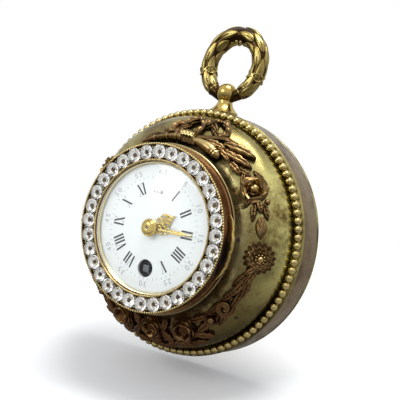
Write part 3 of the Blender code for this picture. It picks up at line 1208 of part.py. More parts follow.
def leaf(scale=1.0):
    """Models a leaf as a pointed oval with a raised rib along it."""
    half = LEAF_LENGTH / 2 * scale
    side = LEAF_WIDTH / 2 * scale
    mesh = bmesh.new()
    corners = [mesh.verts.new((x * half, y * side, -MOUNT_SINK)) for x, y in LEAF_BASE_SHARES]
    tip = LEAF_HEIGHT * LEAF_TIP_SHARE
    corners += [mesh.verts.new((x * half, y * side, tip)) for x, y in LEAF_BASE_SHARES[::3]]
    corners += [mesh.verts.new((x * half, 0, LEAF_HEIGHT * scale)) for x in LEAF_RIB_SHARES]
    bmesh.ops.convex_hull(mesh, input=corners)
    return mesh


PETAL_NOTCH_SHARES = (0.8, 0.9)


def blossom(radius, height, petals, ring_shares):
    """Models a flower as lobed rings that rise to its heart; the shares are (radius, height)."""
    mesh = bmesh.new()
    count = 2 * petals
    rows = []
    for index, (radius_share, height_share) in enumerate(ring_shares):
        lobe = PETAL_NOTCH_SHARES[0 if index < 2 else 1]
        row = []
        for step in range(count):
            reach = radius * radius_share * (1 if step % 2 else lobe)
            x, y = polar(reach, FULL_TURN * step / count)
            row.append(mesh.verts.new((x, y, height * height_share if index else -MOUNT_SINK)))
        rows.append(row)
    for lower, upper in zip(rows, rows[1:]):
        for index in range(count):
            after = (index + 1) % count
            mesh.faces.new((lower[index], lower[after], upper[after], upper[index]))
    mesh.faces.new(rows[0])
    mesh.faces.new(rows[-1])
    return mesh


ROSE_PETALS = 5
ROSE_RING_SHARES = ((1.0, 0.0), (0.78, 0.8), (0.35, 1.0))
DAISY_PETALS = 7
DAISY_RING_SHARES = ((1.0, 0.0), (0.95, 0.55), (0.4, 0.4), (0.3, 1.0))


def rose(scale=1.0):
    """Models a full rose or, at a smaller scale, a bud."""
    return blossom(ROSE_RADIUS * scale, ROSE_HEIGHT * scale, ROSE_PETALS, ROSE_RING_SHARES)


RIBBON_LIFT_SHARE = 0.6
RIBBON_SECTION_SHARES = ((-1, -1), (1, -1), (1, 0.5), (0, 1), (-1, 0.5))


def ribbon(path, radius, closed=False):
    """Lays a flattened strip along (clock degrees, dome share) places."""
    frames = [dome_frame(math.radians(clock_degrees), share) for clock_degrees, share in path]
    count = len(frames)
    mesh = bmesh.new()
    rows = []
    for index, (place, _, _, outward) in enumerate(frames):
        before = frames[(index - 1) % count if closed else max(index - 1, 0)][0]
        after = frames[(index + 1) % count if closed else min(index + 1, count - 1)][0]
        along = (after - before).normalized()
        side = outward.cross(along).normalized()
        rise = along.cross(side)
        row = []
        for x_share, y_share in RIBBON_SECTION_SHARES:
            offset = side * (radius * x_share) + rise * (radius * (RIBBON_LIFT_SHARE + y_share))
            row.append(mesh.verts.new(place + offset))
        rows.append(row)
    links = list(zip(rows, rows[1:] + rows[:1])) if closed else list(zip(rows, rows[1:]))
    for lower, upper in links:
        for index in range(len(lower)):
            after = (index + 1) % len(lower)
            mesh.faces.new((lower[index], lower[after], upper[after], upper[index]))
    if not closed:
        mesh.faces.new(rows[0])
        mesh.faces.new(rows[-1])
    return mesh


def dome_cutter():
    """Makes the body that mounts are fitted against: the shell's outside plus the clearance."""
    bead_front = BEAD_FORWARD + BEAD_RADIUS + CLEARANCE
    outline = [(0, BEAD_SEAT), (FLANGE_RADIUS, BEAD_SEAT), (FLANGE_RADIUS, bead_front)]
    outline += offset_inward([(DOME_EDGE_RADIUS, bead_front)] + shell_outline(), -CLEARANCE)
    outline += [(NECK_RADIUS + CLEARANCE, COLLAR_FRONT), (0, COLLAR_FRONT)]
    return turned("dome_cutter", outline)


def cast_mount(name, elements):
    """Fuses the elements of a mount in one casting and fits its back to the dome."""
    for element in elements:
        bmesh.ops.triangulate(element, faces=element.faces)
    mount = made(name, elements[0], "gilt_bronze")
    for number, element in enumerate(elements[1:]):
        boolean(mount, made(name + "_element_" + str(number), element), "UNION")
    boolean(mount, dome_cutter(), "DIFFERENCE")


QUIVER_SHARES = ((331, 0.2), (347, 0.2), (4, 0.34), (18, 0.5), (36, 0.5))
LEFT_LOOP_SHARES = ((0, 0.4), (354, 0.75), (347, 0.66), (351, 0.3))
RIGHT_LOOP_SHARES = ((3, 0.4), (1, 0.82), (8, 0.9), (10, 0.5))
RIBBON_END_SHARES = ((9, 0.5), (15, 0.85), (22, 0.88))
TROPHY_LEAF_SCALE = 0.9
TROPHY_KNOT_SHARES = (4, 0.36)
TROPHY_KNOT_SCALE = 0.55
DROP_STEM_SHARES = ((51, 0.4), (60, 0.42), (70, 0.4), (79, 0.4))
DROP_ROSE_SHARES = (57.5, 0.42)
DROP_BUD_SHARES = (79, 0.4)
DAISY_SHARES = (93.5, 0.46)
GARLAND_REACH = 68
GARLAND_STEPS = 10
GARLAND_STEM_SHARE = 0.36
GARLAND_MIDDLE_SCALE = 0.9
TROPHY_LEAF_SHARES = ((36.5, 0.34, 5), (37.0, 0.66, 22), (332.0, 0.36, 160))
DROP_LEAF_SHARES = ((51.0, 0.36, 12), (67.0, 0.22, -10), (67.5, 0.6, 25))
GARLAND_LEAF_SHARES = ((109.5, 0.3, 0), (117.5, 0.42, 5), (149.0, 0.46, 20), (169.5, 0.36, 0))
GARLAND_ROSE_SHARES = ((138.0, 0.4, 0.7), (158.5, 0.36, 1.0))


def make_trophy():
    """Casts the ribbon bow with the quiver lying through it, at the top."""
    elements = [ribbon(QUIVER_SHARES, QUIVER_RADIUS), ribbon(RIBBON_END_SHARES, RIBBON_RADIUS)]
    elements += [ribbon(loop, RIBBON_RADIUS, closed=True) for loop in (LEFT_LOOP_SHARES, RIGHT_LOOP_SHARES)]
    elements += [set_on_dome(leaf(TROPHY_LEAF_SCALE), clock, share, heading)
                 for clock, share, heading in TROPHY_LEAF_SHARES]
    elements.append(set_on_dome(rose(TROPHY_KNOT_SCALE), *TROPHY_KNOT_SHARES))
    cast_mount("ribbon_trophy", elements)


def mirrored(clock_degrees, side):
    """Gives the same place on the other half of the dial when the side is -1."""
    return clock_degrees if side > 0 else 360 - clock_degrees


def heading_on(heading, side):
    """Gives the same heading on the other half of the dial when the side is -1."""
    return heading if side > 0 else 180 - heading


def make_side_mounts():
    """Casts the drops with a rose and a bud, and the round flowers under them, on both sides."""
    for side, word in ((1, "right"), (-1, "left")):
        stem = [(mirrored(clock, side), share) for clock, share in DROP_STEM_SHARES]
        elements = [ribbon(stem, RIBBON_RADIUS)]
        elements += [set_on_dome(leaf(), mirrored(clock, side), share, heading_on(heading, side))
                     for clock, share, heading in DROP_LEAF_SHARES]
        for scale, (clock, share) in ((BUD_RADIUS / ROSE_RADIUS, DROP_BUD_SHARES), (1, DROP_ROSE_SHARES)):
            elements.append(set_on_dome(rose(scale), mirrored(clock, side), share))
        cast_mount("rose_drop_" + word, elements)
        flower = blossom(DAISY_RADIUS, DAISY_HEIGHT, DAISY_PETALS, DAISY_RING_SHARES)
        clock, share = DAISY_SHARES
        daisy = made("daisy_" + word, set_on_dome(flower, mirrored(clock, side), share), "gilt_bronze")
        boolean(daisy, dome_cutter(), "DIFFERENCE")


def make_garland():
    """Casts the swag of leaves and roses on a stem round the bottom."""
    stem = [(180 + GARLAND_REACH * (2 * step / GARLAND_STEPS - 1), GARLAND_STEM_SHARE)
            for step in range(GARLAND_STEPS + 1)]
    elements = [ribbon(stem, RIBBON_RADIUS)]
    for side in (1, -1):
        elements += [set_on_dome(leaf(), mirrored(clock, side), share, heading_on(heading, side))
                     for clock, share, heading in GARLAND_LEAF_SHARES]
        elements += [set_on_dome(rose(scale), mirrored(clock, side), share)
                     for clock, share, scale in GARLAND_ROSE_SHARES]
    elements.append(set_on_dome(rose(GARLAND_MIDDLE_SCALE), 180, GARLAND_STEM_SHARE))
    cast_mount("garland", elements)


def clear_scene():
    """Removes every object and mesh that the file starts with."""
    for item in list(bpy.data.objects):
        bpy.data.objects.remove(item)
    for data in list(bpy.data.meshes):
        bpy.data.meshes.remove(data)


def main():
    """Builds the clock."""
    clear_scene()
    make_front_shell()
    make_bead_gallery()
    make_case_band()
    make_back_cover()
    make_pendant()
    make_pendant_screw()
    make_wreath_ring()
    make_bezel_group()
    make_dial()
    make_hands()
    make_frame()
    make_train()
    make_barrel()
    make_winding()
    make_escapement()
    make_balance_cock()
    make_motion_work()
    make_trophy()
    make_side_mounts()
    make_garland()


main()
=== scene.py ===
import json
import math

import bmesh
import bpy
from bpy.props import FloatProperty, FloatVectorProperty, IntProperty, PointerProperty
import numpy as np
from mathutils import Matrix, Vector


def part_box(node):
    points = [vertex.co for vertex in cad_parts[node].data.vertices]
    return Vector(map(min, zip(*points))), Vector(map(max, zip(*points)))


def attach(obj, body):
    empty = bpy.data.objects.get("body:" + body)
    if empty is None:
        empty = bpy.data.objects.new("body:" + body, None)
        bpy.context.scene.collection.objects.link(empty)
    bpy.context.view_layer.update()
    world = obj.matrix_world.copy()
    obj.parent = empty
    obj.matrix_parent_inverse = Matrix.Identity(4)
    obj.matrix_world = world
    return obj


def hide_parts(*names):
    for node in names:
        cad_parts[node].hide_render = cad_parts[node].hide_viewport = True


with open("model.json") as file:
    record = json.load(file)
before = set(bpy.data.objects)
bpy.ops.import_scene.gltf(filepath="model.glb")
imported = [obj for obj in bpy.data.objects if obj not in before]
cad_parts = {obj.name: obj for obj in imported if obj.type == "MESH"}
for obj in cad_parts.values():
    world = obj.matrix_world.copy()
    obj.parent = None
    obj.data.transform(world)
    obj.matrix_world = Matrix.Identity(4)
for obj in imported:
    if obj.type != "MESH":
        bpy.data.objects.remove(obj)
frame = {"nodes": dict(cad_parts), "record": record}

bl_info = {
    "name": "Boudoir clock",
    "version": (1, 0, 0),
    "blender": (4, 5, 0),
    "location": "View3D > Sidebar > Clock",
    "description": "Dresses the clock's working solids with turned brass, set stones, enamel and gilt mounts",
    "category": "Object",
}

MM = 0.001
FULL_TURN = 2 * math.pi
TURNING_STEPS = 160

# Case profile, as (radius, distance forward of the rear face), in millimetres
DOME_EDGE = (37.7, 16.3)
DOME_FOOT = (29.2, 26.4)
NECK_TOP = (26.9, 30.8)
DOME_CURVE = (DOME_EDGE, (37.7, 20.95), (33.57, 24.38), DOME_FOOT)
NECK_CURVE = (DOME_FOOT, (27.59, 27.1), (26.9, 28.6), NECK_TOP)

# Lengths in millimetres; a height is from the dial's middle, a forward distance from the rear face, and
# a circle is the radius that things stand at
BAND_RADIUS = 40.3
BEAD_CIRCLE = 39.05
BEAD_FORWARD = 14.1
BEZEL_BACK = 32.5
STONE_CIRCLE = 23.55
STONE_GIRDLE = 37.45
DIAL_RADIUS = 20.4
DIAL_FRONT = 36.1
DIAL_DOME = 0.9
NUMERAL_CIRCLE = 12.65
WORN_NUMERAL_CIRCLE = 11.0
TRACK_CIRCLE = 15.75
FIVE_MINUTE_CIRCLE = 17.35
BARREL_HEIGHT = -12.6
WINDING_HOLE_RADIUS = 2.75
HOUR_HAND_FORWARD = 36.55
MINUTE_HAND_FORWARD = 37.15
PENDANT_FORWARD = 6.4
BALL_HEIGHT = 46.9
BALL_RADIUS = 3.4
RING_HALF_WIDTH = 9.5
RING_HALF_HEIGHT = 10.75
SUNK_DEPTH = 0.8
CAMERA_TARGET = (-6.7, 0, 10.33)
CAMERA_DISTANCE = 342
FLOOR_DEPTH = 41.5

# Angles in degrees; the camera's are its azimuth, its elevation and its roll
HOUR_HAND_ANGLE = 58.2
MINUTE_HAND_ANGLE = 89.4
CAMERA_ANGLES = (31.2, 1.3, 10.4)

# Angles in radians: the first stone's, the ring's lean, and where its ends stand round it from its foot
FIRST_STONE = math.radians(4.1)
RING_LEAN = math.radians(9)
RING_END_TURN = 0.44

# A bead's length forwards, as a share of its width
BEAD_STRETCH = 1.18

# A ribbon's section across and up, as shares of half its width
RIBBON_SECTION = ((-1, -0.6), (-1, 0.3), (-0.75, 0.5), (-0.35, 0.22),
                  (0.35, 0.22), (0.75, 0.5), (1, 0.3), (1, -0.6))


def colour_setting(name, description, default):
    """Offers a colour in the panel."""
    return FloatVectorProperty(name=name, description=description, default=default, min=0, max=1,
                               subtype="COLOR")


def count_setting(name, description, default, least, most):
    """Offers a number of things in the panel."""
    return IntProperty(name=name, description=description, default=default, min=least, max=most)


def length_setting(name, description, default, least, most):
    """Offers a length in the panel; the lengths here are in millimetres."""
    return FloatProperty(name=name, description=description, default=default * MM, min=least * MM,
                         max=most * MM, unit="LENGTH", precision=5)


class ClockCaseSettings(bpy.types.PropertyGroup):
    """Sizes and colours of the brass case."""
    bead_count: count_setting("Beads", "Beads in the gallery round the dome", 96, 24, 160)
    bead_radius: length_setting("Bead radius", "Radius of one bead of the gallery", 1.25, 0.2, 2)
    brass: colour_setting("Brass", "Olive gold of the spun dome", (0.68, 0.62, 0.24))
    tarnish: colour_setting("Tarnish", "Brown that has grown over the brass", (0.17, 0.115, 0.035))
    band_brass: colour_setting("Band", "Grey-brown brass of the band", (0.25, 0.18, 0.095))
    skirt_brass: colour_setting("Skirt", "Red-brown brass of the bezel's skirt", (0.28, 0.135, 0.055))


class ClockBezelSettings(bpy.types.PropertyGroup):
    """Sizes and colours of the bezel and its stones."""
    stone_count: count_setting("Stones", "Paste stones set in the bezel", 32, 8, 60)
    stone_radius: length_setting("Stone radius", "Radius of one paste stone", 2.25, 0.5, 3)
    grain_count: count_setting("Milgrain", "Fine grains along each of the bezel's edges", 190, 40, 300)
    foil: colour_setting("Foil", "Bright foil behind the stones", (0.93, 0.93, 0.90))


class ClockDialSettings(bpy.types.PropertyGroup):
    """Sizes and colours of the dial."""
    enamel: colour_setting("Enamel", "White of the fired enamel", (0.80, 0.835, 0.84))
    ink: colour_setting("Ink", "Black of the hour numerals", (0.012, 0.014, 0.018))
    faint_ink: colour_setting("Faint ink", "Worn grey of the minute track", (0.27, 0.29, 0.31))
    hour_height: length_setting("Hour numeral height", "Height of a Roman numeral", 3.8, 1, 6)


class ClockMountSettings(bpy.types.PropertyGroup):
    """Colours of the gilt mounts, the ring and the hands."""
    bronze: colour_setting("Bronze", "Reddish bronze of the mounts", (0.25, 0.155, 0.062))
    # This gilt colour gives both the wear and the painted highlight on the mounts' raised parts
    worn: colour_setting("Worn gilt", "Bright gilt on the mounts' raised parts", (0.60, 0.46, 0.19))
    ring_gilt: colour_setting("Gilt", "Yellow gilt of the ball and the hands", (0.55, 0.40, 0.12))
    laurel: colour_setting("Laurel gilt", "Duller gilt of the laurel ring", (0.33, 0.25, 0.075))


class ClockStageSettings(bpy.types.PropertyGroup):
    """Light and view."""
    key_power: FloatProperty(name="Key light", description="Power of the main soft light in watts",
                             default=2.2, min=0)
    fill_power: FloatProperty(name="Fill light", description="Power of the weaker soft light in watts",
                              default=0.75, min=0)
    floor_tilt: FloatProperty(name="Floor tilt", description="How far the clock leans back over its floor",
                              default=math.radians(19), subtype="ANGLE")


# Node helpers


def node(tree, kind, settings=None, **inputs):
    """Adds a node, applies its settings and feeds its inputs."""
    made = tree.nodes.new(kind)
    for name, value in (settings or {}).items():
        setattr(made, name, value)
    return fed(made, **inputs)


def worked_out(operation, first, second=0.0, clamp=False):
    """Adds a Math node beside its first Value and gives its result."""
    tree = (first if isinstance(first, Value) else second).socket.id_data
    made = node(tree, "ShaderNodeMath", {"operation": operation, "use_clamp": clamp}, n0=first, n1=second)
    return Value(made.outputs[0])


class Value:
    """A number that a node puts out; arithmetic on it adds Math nodes."""

    def __init__(self, socket):
        self.socket = socket

    def __add__(self, other):
        return worked_out("ADD", self, other)

    def __sub__(self, other):
        return worked_out("SUBTRACT", self, other)

    def __rsub__(self, other):
        return worked_out("SUBTRACT", other, self)

    def __mul__(self, other):
        return worked_out("MULTIPLY", self, other)

    def __truediv__(self, other):
        return worked_out("DIVIDE", self, other)

    def __rtruediv__(self, other):
        return worked_out("DIVIDE", other, self)


def fed(made, **inputs):
    """Gives a node's inputs a value or a link and gives the node back; a space in an input's name is
    written as an underscore, and n with a number stands for the input at that place."""
    for name, value in inputs.items():
        numbered = name[0] == "n" and name[1:].isdigit()
        socket = made.inputs[int(name[1:]) if numbered else name.replace("_", " ")]
        value = value.socket if isinstance(value, Value) else value
        if isinstance(value, bpy.types.NodeSocket):
            made.id_data.links.new(value, socket)
        else:
            socket.default_value = value
    return made


def mixed(share, first, second):
    """Mixes two colours by a Value and gives the result."""
    first, second = (colour if isinstance(colour, bpy.types.NodeSocket) or len(colour) == 4 else (*colour, 1)
                     for colour in (first, second))
    made = node(share.socket.id_data, "ShaderNodeMix", {"data_type": "RGBA"}, n0=share, n6=first, n7=second)
    return made.outputs[2]


def ranged(value, low, high, first=0.0, last=1.0):
    """Maps a Value from one range to another, kept inside it, with soft ends."""
    made = node(value.socket.id_data, "ShaderNodeMapRange", {"interpolation_type": "SMOOTHSTEP"})
    fed(made, Value=value, From_Min=low, From_Max=high, To_Min=first, To_Max=last)
    return Value(made.outputs["Result"])


def object_place(tree):
    """Gives the shaded point's own place."""
    return node(tree, "ShaderNodeTexCoord").outputs["Object"]


def axes(tree):
    """Gives the X, Y and Z of the shaded point's own place."""
    return [Value(part) for part in node(tree, "ShaderNodeSeparateXYZ", Vector=object_place(tree)).outputs]


def noise(tree, scale, detail, roughness=0.5):
    """Gives the value of a noise over the shaded point's own place."""
    return Value(node(tree, "ShaderNodeTexNoise", Vector=object_place(tree), Scale=scale, Detail=detail,
                      Roughness=roughness).outputs["Fac"])


def new_tree(name, kind, inputs, outputs):
    """Starts a node group with named sockets and gives it with its input node and output node."""
    tree = bpy.data.node_groups.new(name, kind)
    for way, sockets in (("INPUT", inputs), ("OUTPUT", outputs)):
        for label, socket_kind in sockets.items():
            tree.interface.new_socket(label, in_out=way, socket_type="NodeSocket" + socket_kind)
    return tree, tree.nodes.new("NodeGroupInput"), tree.nodes.new("NodeGroupOutput")


def tarnish_group():
    """Old metal: clean metal, brown tarnish in patches, dark specks and a soft surface unevenness."""
    if "Tarnish" in bpy.data.node_groups:
        return bpy.data.node_groups["Tarnish"]
    inputs = {"Metal": "Color", "Tarnish": "Color", "Amount": "Float", "Patch size": "Float"}
    outputs = {"Color": "Color", "Roughness": "Float", "Height": "Float"}
    tree, start, end = new_tree("Tarnish", "ShaderNodeTree", inputs, outputs)
    scale = 1.0 / Value(start.outputs["Patch size"])
    patches = noise(tree, scale, 6.0, 0.62)
    fine = noise(tree, scale * 9.0, 4.0, 0.7)
    low = 0.78 - Value(start.outputs["Amount"]) * 0.5
    spread = Value(node(tree, "ShaderNodeMapRange", Value=patches + (fine - 0.5) * 0.3, From_Min=low,
                        From_Max=low + 0.22).outputs["Result"])
    colour = mixed(spread, start.outputs["Metal"], start.outputs["Tarnish"])
    colour = mixed(ranged(fine, 0.64, 0.74) * 0.55, colour, (0.03, 0.018, 0.008))
    fed(end, Color=colour, Roughness=spread * 0.16 + fine * 0.14, Height=patches + fine * 0.3)
    return tree


def turned_lines_group():
    """Fine uneven lines that the lathe left round the clock's own axis."""
    if "Turned lines" in bpy.data.node_groups:
        return bpy.data.node_groups["Turned lines"]
    tree, start, end = new_tree("Turned lines", "ShaderNodeTree", {"Line spacing": "Float"},
                                {"Height": "Float"})
    x, y, z = axes(tree)
    along = worked_out("SQRT", worked_out("POWER", x, 2.0) + worked_out("POWER", z, 2.0)) - y
    lines = node(tree, "ShaderNodeTexNoise", {"noise_dimensions": "1D"}, Detail=3.0, Roughness=0.7,
                 W=along / Value(start.outputs["Line spacing"]), Scale=1.0)
    fed(end, Height=lines.outputs["Fac"])
    return tree


def relief_group():
    """Gives how far a point stands out on a raised edge, and how far it lies in a hollow."""
    if "Relief" in bpy.data.node_groups:
        return bpy.data.node_groups["Relief"]
    tree, _, end = new_tree("Relief", "ShaderNodeTree", {}, {"Raised": "Float", "Hollow": "Float"})
    point = Value(node(tree, "ShaderNodeNewGeometry").outputs["Pointiness"])
    fed(end, Raised=ranged(point, 0.525, 0.64), Hollow=ranged(point, 0.485, 0.40))
    return tree


def either(tree, share, first, second):
    """Mixes two shaders and gives the result."""
    return node(tree, "ShaderNodeMixShader", n0=share, n1=first, n2=second).outputs["Shader"]


def begun(name):
    """Starts a material and gives it with its node tree and Principled shader."""
    material = bpy.data.materials.new(name)
    material.use_nodes = True
    return material, material.node_tree, material.node_tree.nodes["Principled BSDF"]


def grouped(tree, group, **inputs):
    """Places a node group in a tree."""
    return node(tree, "ShaderNodeGroup", {"node_tree": group}, **inputs)


def bumped(shader, height, strength, distance):
    """Gives a shader its bump."""
    bump = node(shader.id_data, "ShaderNodeBump", Height=height, Strength=strength, Distance=distance)
    fed(shader, Normal=bump.outputs["Normal"])


def old_brass(name, metal, tarnish, amount, patch, roughness, lines=0.0, worn=None, hollow_share=0.6,
              extra=None, lift=None):
    """Makes an old brass or gilt finish; where asked, gilt wear with a painted highlight brightens its raised
    parts and dirt with painted shade darkens its hollows;
    lift gives the heights over its ground, in millimetres, between which it goes from dirt and painted shade
    to wear and painted highlight."""
    if name in bpy.data.materials:
        return bpy.data.materials[name]
    material, tree, shader = begun(name)
    old = grouped(tree, tarnish_group(), Metal=(*metal, 1), Tarnish=(*tarnish, 1), Amount=amount,
                  Patch_size=patch)
    colour, height = old.outputs["Color"], Value(old.outputs["Height"])
    if worn:
        raised, hollow = (Value(part) for part in grouped(tree, relief_group()).outputs)
        # Corners low over their ground get dirt and painted shade, high ones gilt wear and a painted
        # highlight
        if lift:
            middle = (lift[0] + lift[1]) / 2
            marked = Value(node(tree, "ShaderNodeAttribute", {"attribute_name": "lift"}).outputs["Fac"])
            uneven = marked + (height - 0.65) * (lift[1] - lift[0])
            raised = worked_out("ADD", raised * 0.4, ranged(uneven, middle, lift[1]), clamp=True)
            hollow = worked_out("MAXIMUM", hollow, ranged(uneven, middle, lift[0]))
        # Painted highlight with gilt wear on the raised parts; painted shade with near-black dirt in the
        # hollows
        colour = mixed(hollow * hollow_share, mixed(raised * 0.75, colour, worn), (0.03, 0.014, 0.006))
    if extra:
        colour = extra(tree, colour)
    if lines:
        turned = grouped(tree, turned_lines_group(), Line_spacing=0.35 * MM)
        height = height * 0.5 + Value(turned.outputs["Height"]) * lines
    rough = worked_out("ADD", Value(old.outputs["Roughness"]), roughness, clamp=True)
    fed(shader, Base_Color=colour, Metallic=1.0, Roughness=rough)
    bumped(shader, height, 0.5, 0.06 * MM)
    return material


def dome_finish(context):
    """Olive gold on the dome, browner towards the neck; painted shade darkens it high up, low down and by the
    beads, and painted light makes the neck paler.
    """
    sizes = context.scene.clock_case

    def shade(tree, colour):
        _, y, z = axes(tree)
        forward = y * -1.0
        # Painted shade: darker in the crevice by the beads, high up and low down
        edge = ranged(forward, 16.6 * MM, 14.6 * MM) * 0.4
        dark = worked_out("MAXIMUM", ranged(z, 19 * MM, 30 * MM, 0.0, 0.6), edge)
        dark = worked_out("MAXIMUM", dark, ranged(z, 2 * MM, -24 * MM, 0.0, 0.9))
        colour = mixed(dark, colour, (0.085, 0.06, 0.02))
        colour = mixed(ranged(forward, 20.5 * MM, 25.5 * MM, 0.0, 0.42), colour, (0.20, 0.14, 0.055))
        # Painted light: the neck, which lies in the skirt's shade, is lifted to a paler olive
        return mixed(ranged(forward, 25.8 * MM, 29.2 * MM) * 0.6, colour, (0.50, 0.42, 0.22))
    return old_brass("spun_brass", sizes.brass, sizes.tarnish, 0.68, 12 * MM, 0.16, lines=0.8, extra=shade)


def band_finish(context):
    """Grey-brown brass of the band."""
    sizes = context.scene.clock_case
    return old_brass("band_brass", sizes.band_brass, (0.12, 0.075, 0.04), 0.62, 9 * MM, 0.2, lines=0.5)


def bead_finish(context):
    """Brighter brass of the beads and thin rims, with dirt and painted shade between them and gilt wear with
    a painted highlight on their raised parts.
    """
    sizes = context.scene.clock_case
    return old_brass("bead_brass", (0.50, 0.39, 0.15), sizes.tarnish, 0.45, 5 * MM, 0.12,
                     worn=(0.78, 0.65, 0.32))


def mount_finish(context):
    """Reddish bronze of the mounts, with dirt and painted shade in their ground and gilt wear with a painted
    highlight on the raised parts;
    painted shade makes them redder and darker towards the bottom."""
    colours = context.scene.clock_mounts

    def shade(tree, colour):
        # Painted shade: redder and darker towards the bottom
        return mixed(ranged(axes(tree)[2], 8 * MM, -26 * MM, 0.0, 0.72), colour, (0.115, 0.05, 0.022))
    return old_brass("mount_bronze", colours.bronze, (0.15, 0.07, 0.028), 0.6, 5 * MM, 0.2, worn=colours.worn,
                     hollow_share=0.92, extra=shade, lift=(0.5, 3.1))


def ring_finish(context):
    """Yellow gilt of the ball, the thumb lift and the hands."""
    colours = context.scene.clock_mounts
    return old_brass("ring_gilt", colours.ring_gilt, (0.20, 0.12, 0.035), 0.45, 5 * MM, 0.15,
                     worn=(0.78, 0.62, 0.28), hollow_share=0.8)


def laurel_finish(context):
    """Old gilt of the laurel ring, brown between its leaves from dirt and painted shade."""
    colours = context.scene.clock_mounts
    return old_brass("laurel_gilt", colours.laurel, (0.20, 0.115, 0.035), 0.5, 5 * MM, 0.17,
                     worn=(0.56, 0.45, 0.19), hollow_share=0.95, lift=(0.1, 0.8))


def skirt_finish(context):
    """Red-brown brass of the bezel's skirt, nearly black below the thumb lift from tarnish and painted shade.
    """
    sizes = context.scene.clock_case

    def shade(tree, colour):
        x, _, z = axes(tree)
        # Tarnish and painted shade below the thumb lift
        behind = ranged(x, 22.8 * MM, 24.8 * MM, 0.0, 0.85) * ranged(z, 5 * MM, -2 * MM)
        return mixed(behind, colour, (0.045, 0.036, 0.05))
    return old_brass("skirt_brass", sizes.skirt_brass, (0.13, 0.055, 0.024), 0.62, 9 * MM, 0.2, lines=0.5,
                     extra=shade)


def plain_metal(name, colour, roughness, metallic=1.0, grain=0.35):
    """Makes clean metal with a fine brushed unevenness, for the works inside."""
    if name in bpy.data.materials:
        return bpy.data.materials[name]
    material, tree, shader = begun(name)
    cloud = noise(tree, 420.0, 5.0)
    fed(shader, Base_Color=mixed(cloud, colour, tuple(part * 0.72 for part in colour)), Metallic=metallic,
        Roughness=ranged(cloud, 0.3, 0.7, roughness, roughness + 0.12))
    bumped(shader, cloud, grain, 0.02 * MM)
    return material


def glass_finish(name, tint, ior):
    """Makes clear glass that lets light through to what lies behind it."""
    if name in bpy.data.materials:
        return bpy.data.materials[name]
    material, tree, shader = begun(name)
    fed(shader, Base_Color=(*tint, 1), Roughness=0.0, Transmission_Weight=1.0, IOR=ior)
    clear = node(tree, "ShaderNodeBsdfTransparent").outputs["BSDF"]
    shadow = node(tree, "ShaderNodeLightPath").outputs["Is Shadow Ray"]
    fed(tree.nodes["Material Output"], Surface=either(tree, shadow, shader.outputs["BSDF"], clear))
    return material


def enamel_finish(context):
    """White fired enamel with a glossy coat, faint specks and a warmer tone in places."""
    material, tree, shader = begun("fired_enamel")
    cloud = noise(tree, 110.0, 3.0)
    white = tuple(context.scene.clock_dial.enamel)
    warm = mixed(ranged(cloud, 0.5, 0.75, 0.0, 0.25), white, (0.76, 0.77, 0.72))
    colour = mixed(ranged(noise(tree, 1500.0, 1.0), 0.76, 0.8, 0.0, 0.35), warm, (0.45, 0.45, 0.42))
    fed(shader, Base_Color=colour, Roughness=0.22, Coat_Weight=0.6, Coat_Roughness=0.05)
    bumped(shader, cloud, 0.15, 0.05 * MM)
    return material


def ink_finish(name, colour):
    """Makes printed ink, a little uneven."""
    material, tree, shader = begun(name)
    pale = tuple(min(1.0, part * 1.5 + 0.03) for part in colour)
    fed(shader, Base_Color=mixed(noise(tree, 900.0, 2.0), colour, pale), Roughness=0.35)
    return material


# Shape helpers


def curve_points(corners, count):
    """Gives evenly stepped points along a smooth curve with two pulling points."""
    points = []
    for index in range(count + 1):
        share = index / count
        rest = 1 - share
        weights = (rest ** 3, 3 * rest ** 2 * share, 3 * rest * share ** 2, share ** 3)
        points.append(tuple(sum(w * c[k] for w, c in zip(weights, corners)) for k in (0, 1)))
    return points


def arc_points(centre, radius, first, last, count):
    """Gives points on an arc of an outline; angles in degrees from the radius direction."""
    angles = [math.radians(first + (last - first) * k / count) for k in range(count + 1)]
    return [(centre[0] + radius * math.cos(angle), centre[1] + radius * math.sin(angle)) for angle in angles]


def lathe(outline, steps=TURNING_STEPS, upright=False):
    """Spins a closed outline in millimetres about the clock's axis, or about an upright one."""
    mesh = bmesh.new()
    rows = []
    for step in range(steps):
        angle = FULL_TURN * step / steps
        row = []
        for radius, along in outline:
            across = (radius * MM * math.cos(angle), radius * MM * math.sin(angle))
            place = (across[0], -across[1], along * MM) if upright else (across[0], -along * MM, across[1])
            row.append(mesh.verts.new(place))
        rows.append(row)
    walled(mesh, rows + rows[:1], True)
    return cleaned(mesh, 0.0005)


def walled(mesh, rows, round_ends=False):
    """Joins rows of corners with faces; a row may close on itself."""
    for row, following in zip(rows, rows[1:]):
        for index in range(len(row) if round_ends else len(row) - 1):
            after = (index + 1) % len(row)
            mesh.faces.new((row[index], row[after], following[after], following[index]))


def cleaned(mesh, apart):
    """Joins corners less than a distance in millimetres apart, drops faces without an area and
    turns the rest outwards."""
    bmesh.ops.remove_doubles(mesh, verts=mesh.verts, dist=apart * MM)
    flat = [face for face in mesh.faces if face.calc_area() < 1e-13]
    bmesh.ops.delete(mesh, geom=flat, context="FACES_ONLY")
    bmesh.ops.recalc_face_normals(mesh, faces=mesh.faces)
    return mesh


def placed(mesh, matrix):
    """Moves a bmesh by a matrix and gives it back."""
    bmesh.ops.transform(mesh, verts=mesh.verts, matrix=matrix)
    return mesh


def moved(mesh, x, y, z):
    """Moves a bmesh by millimetres and gives it back."""
    return placed(mesh, Matrix.Translation((x * MM, y * MM, z * MM)))


def gathered(meshes):
    """Puts several bmeshes in one."""
    whole = bmesh.new()
    for mesh in meshes:
        data = bpy.data.meshes.new("part")
        mesh.to_mesh(data)
        mesh.free()
        whole.from_mesh(data)
        bpy.data.meshes.remove(data)
    return whole


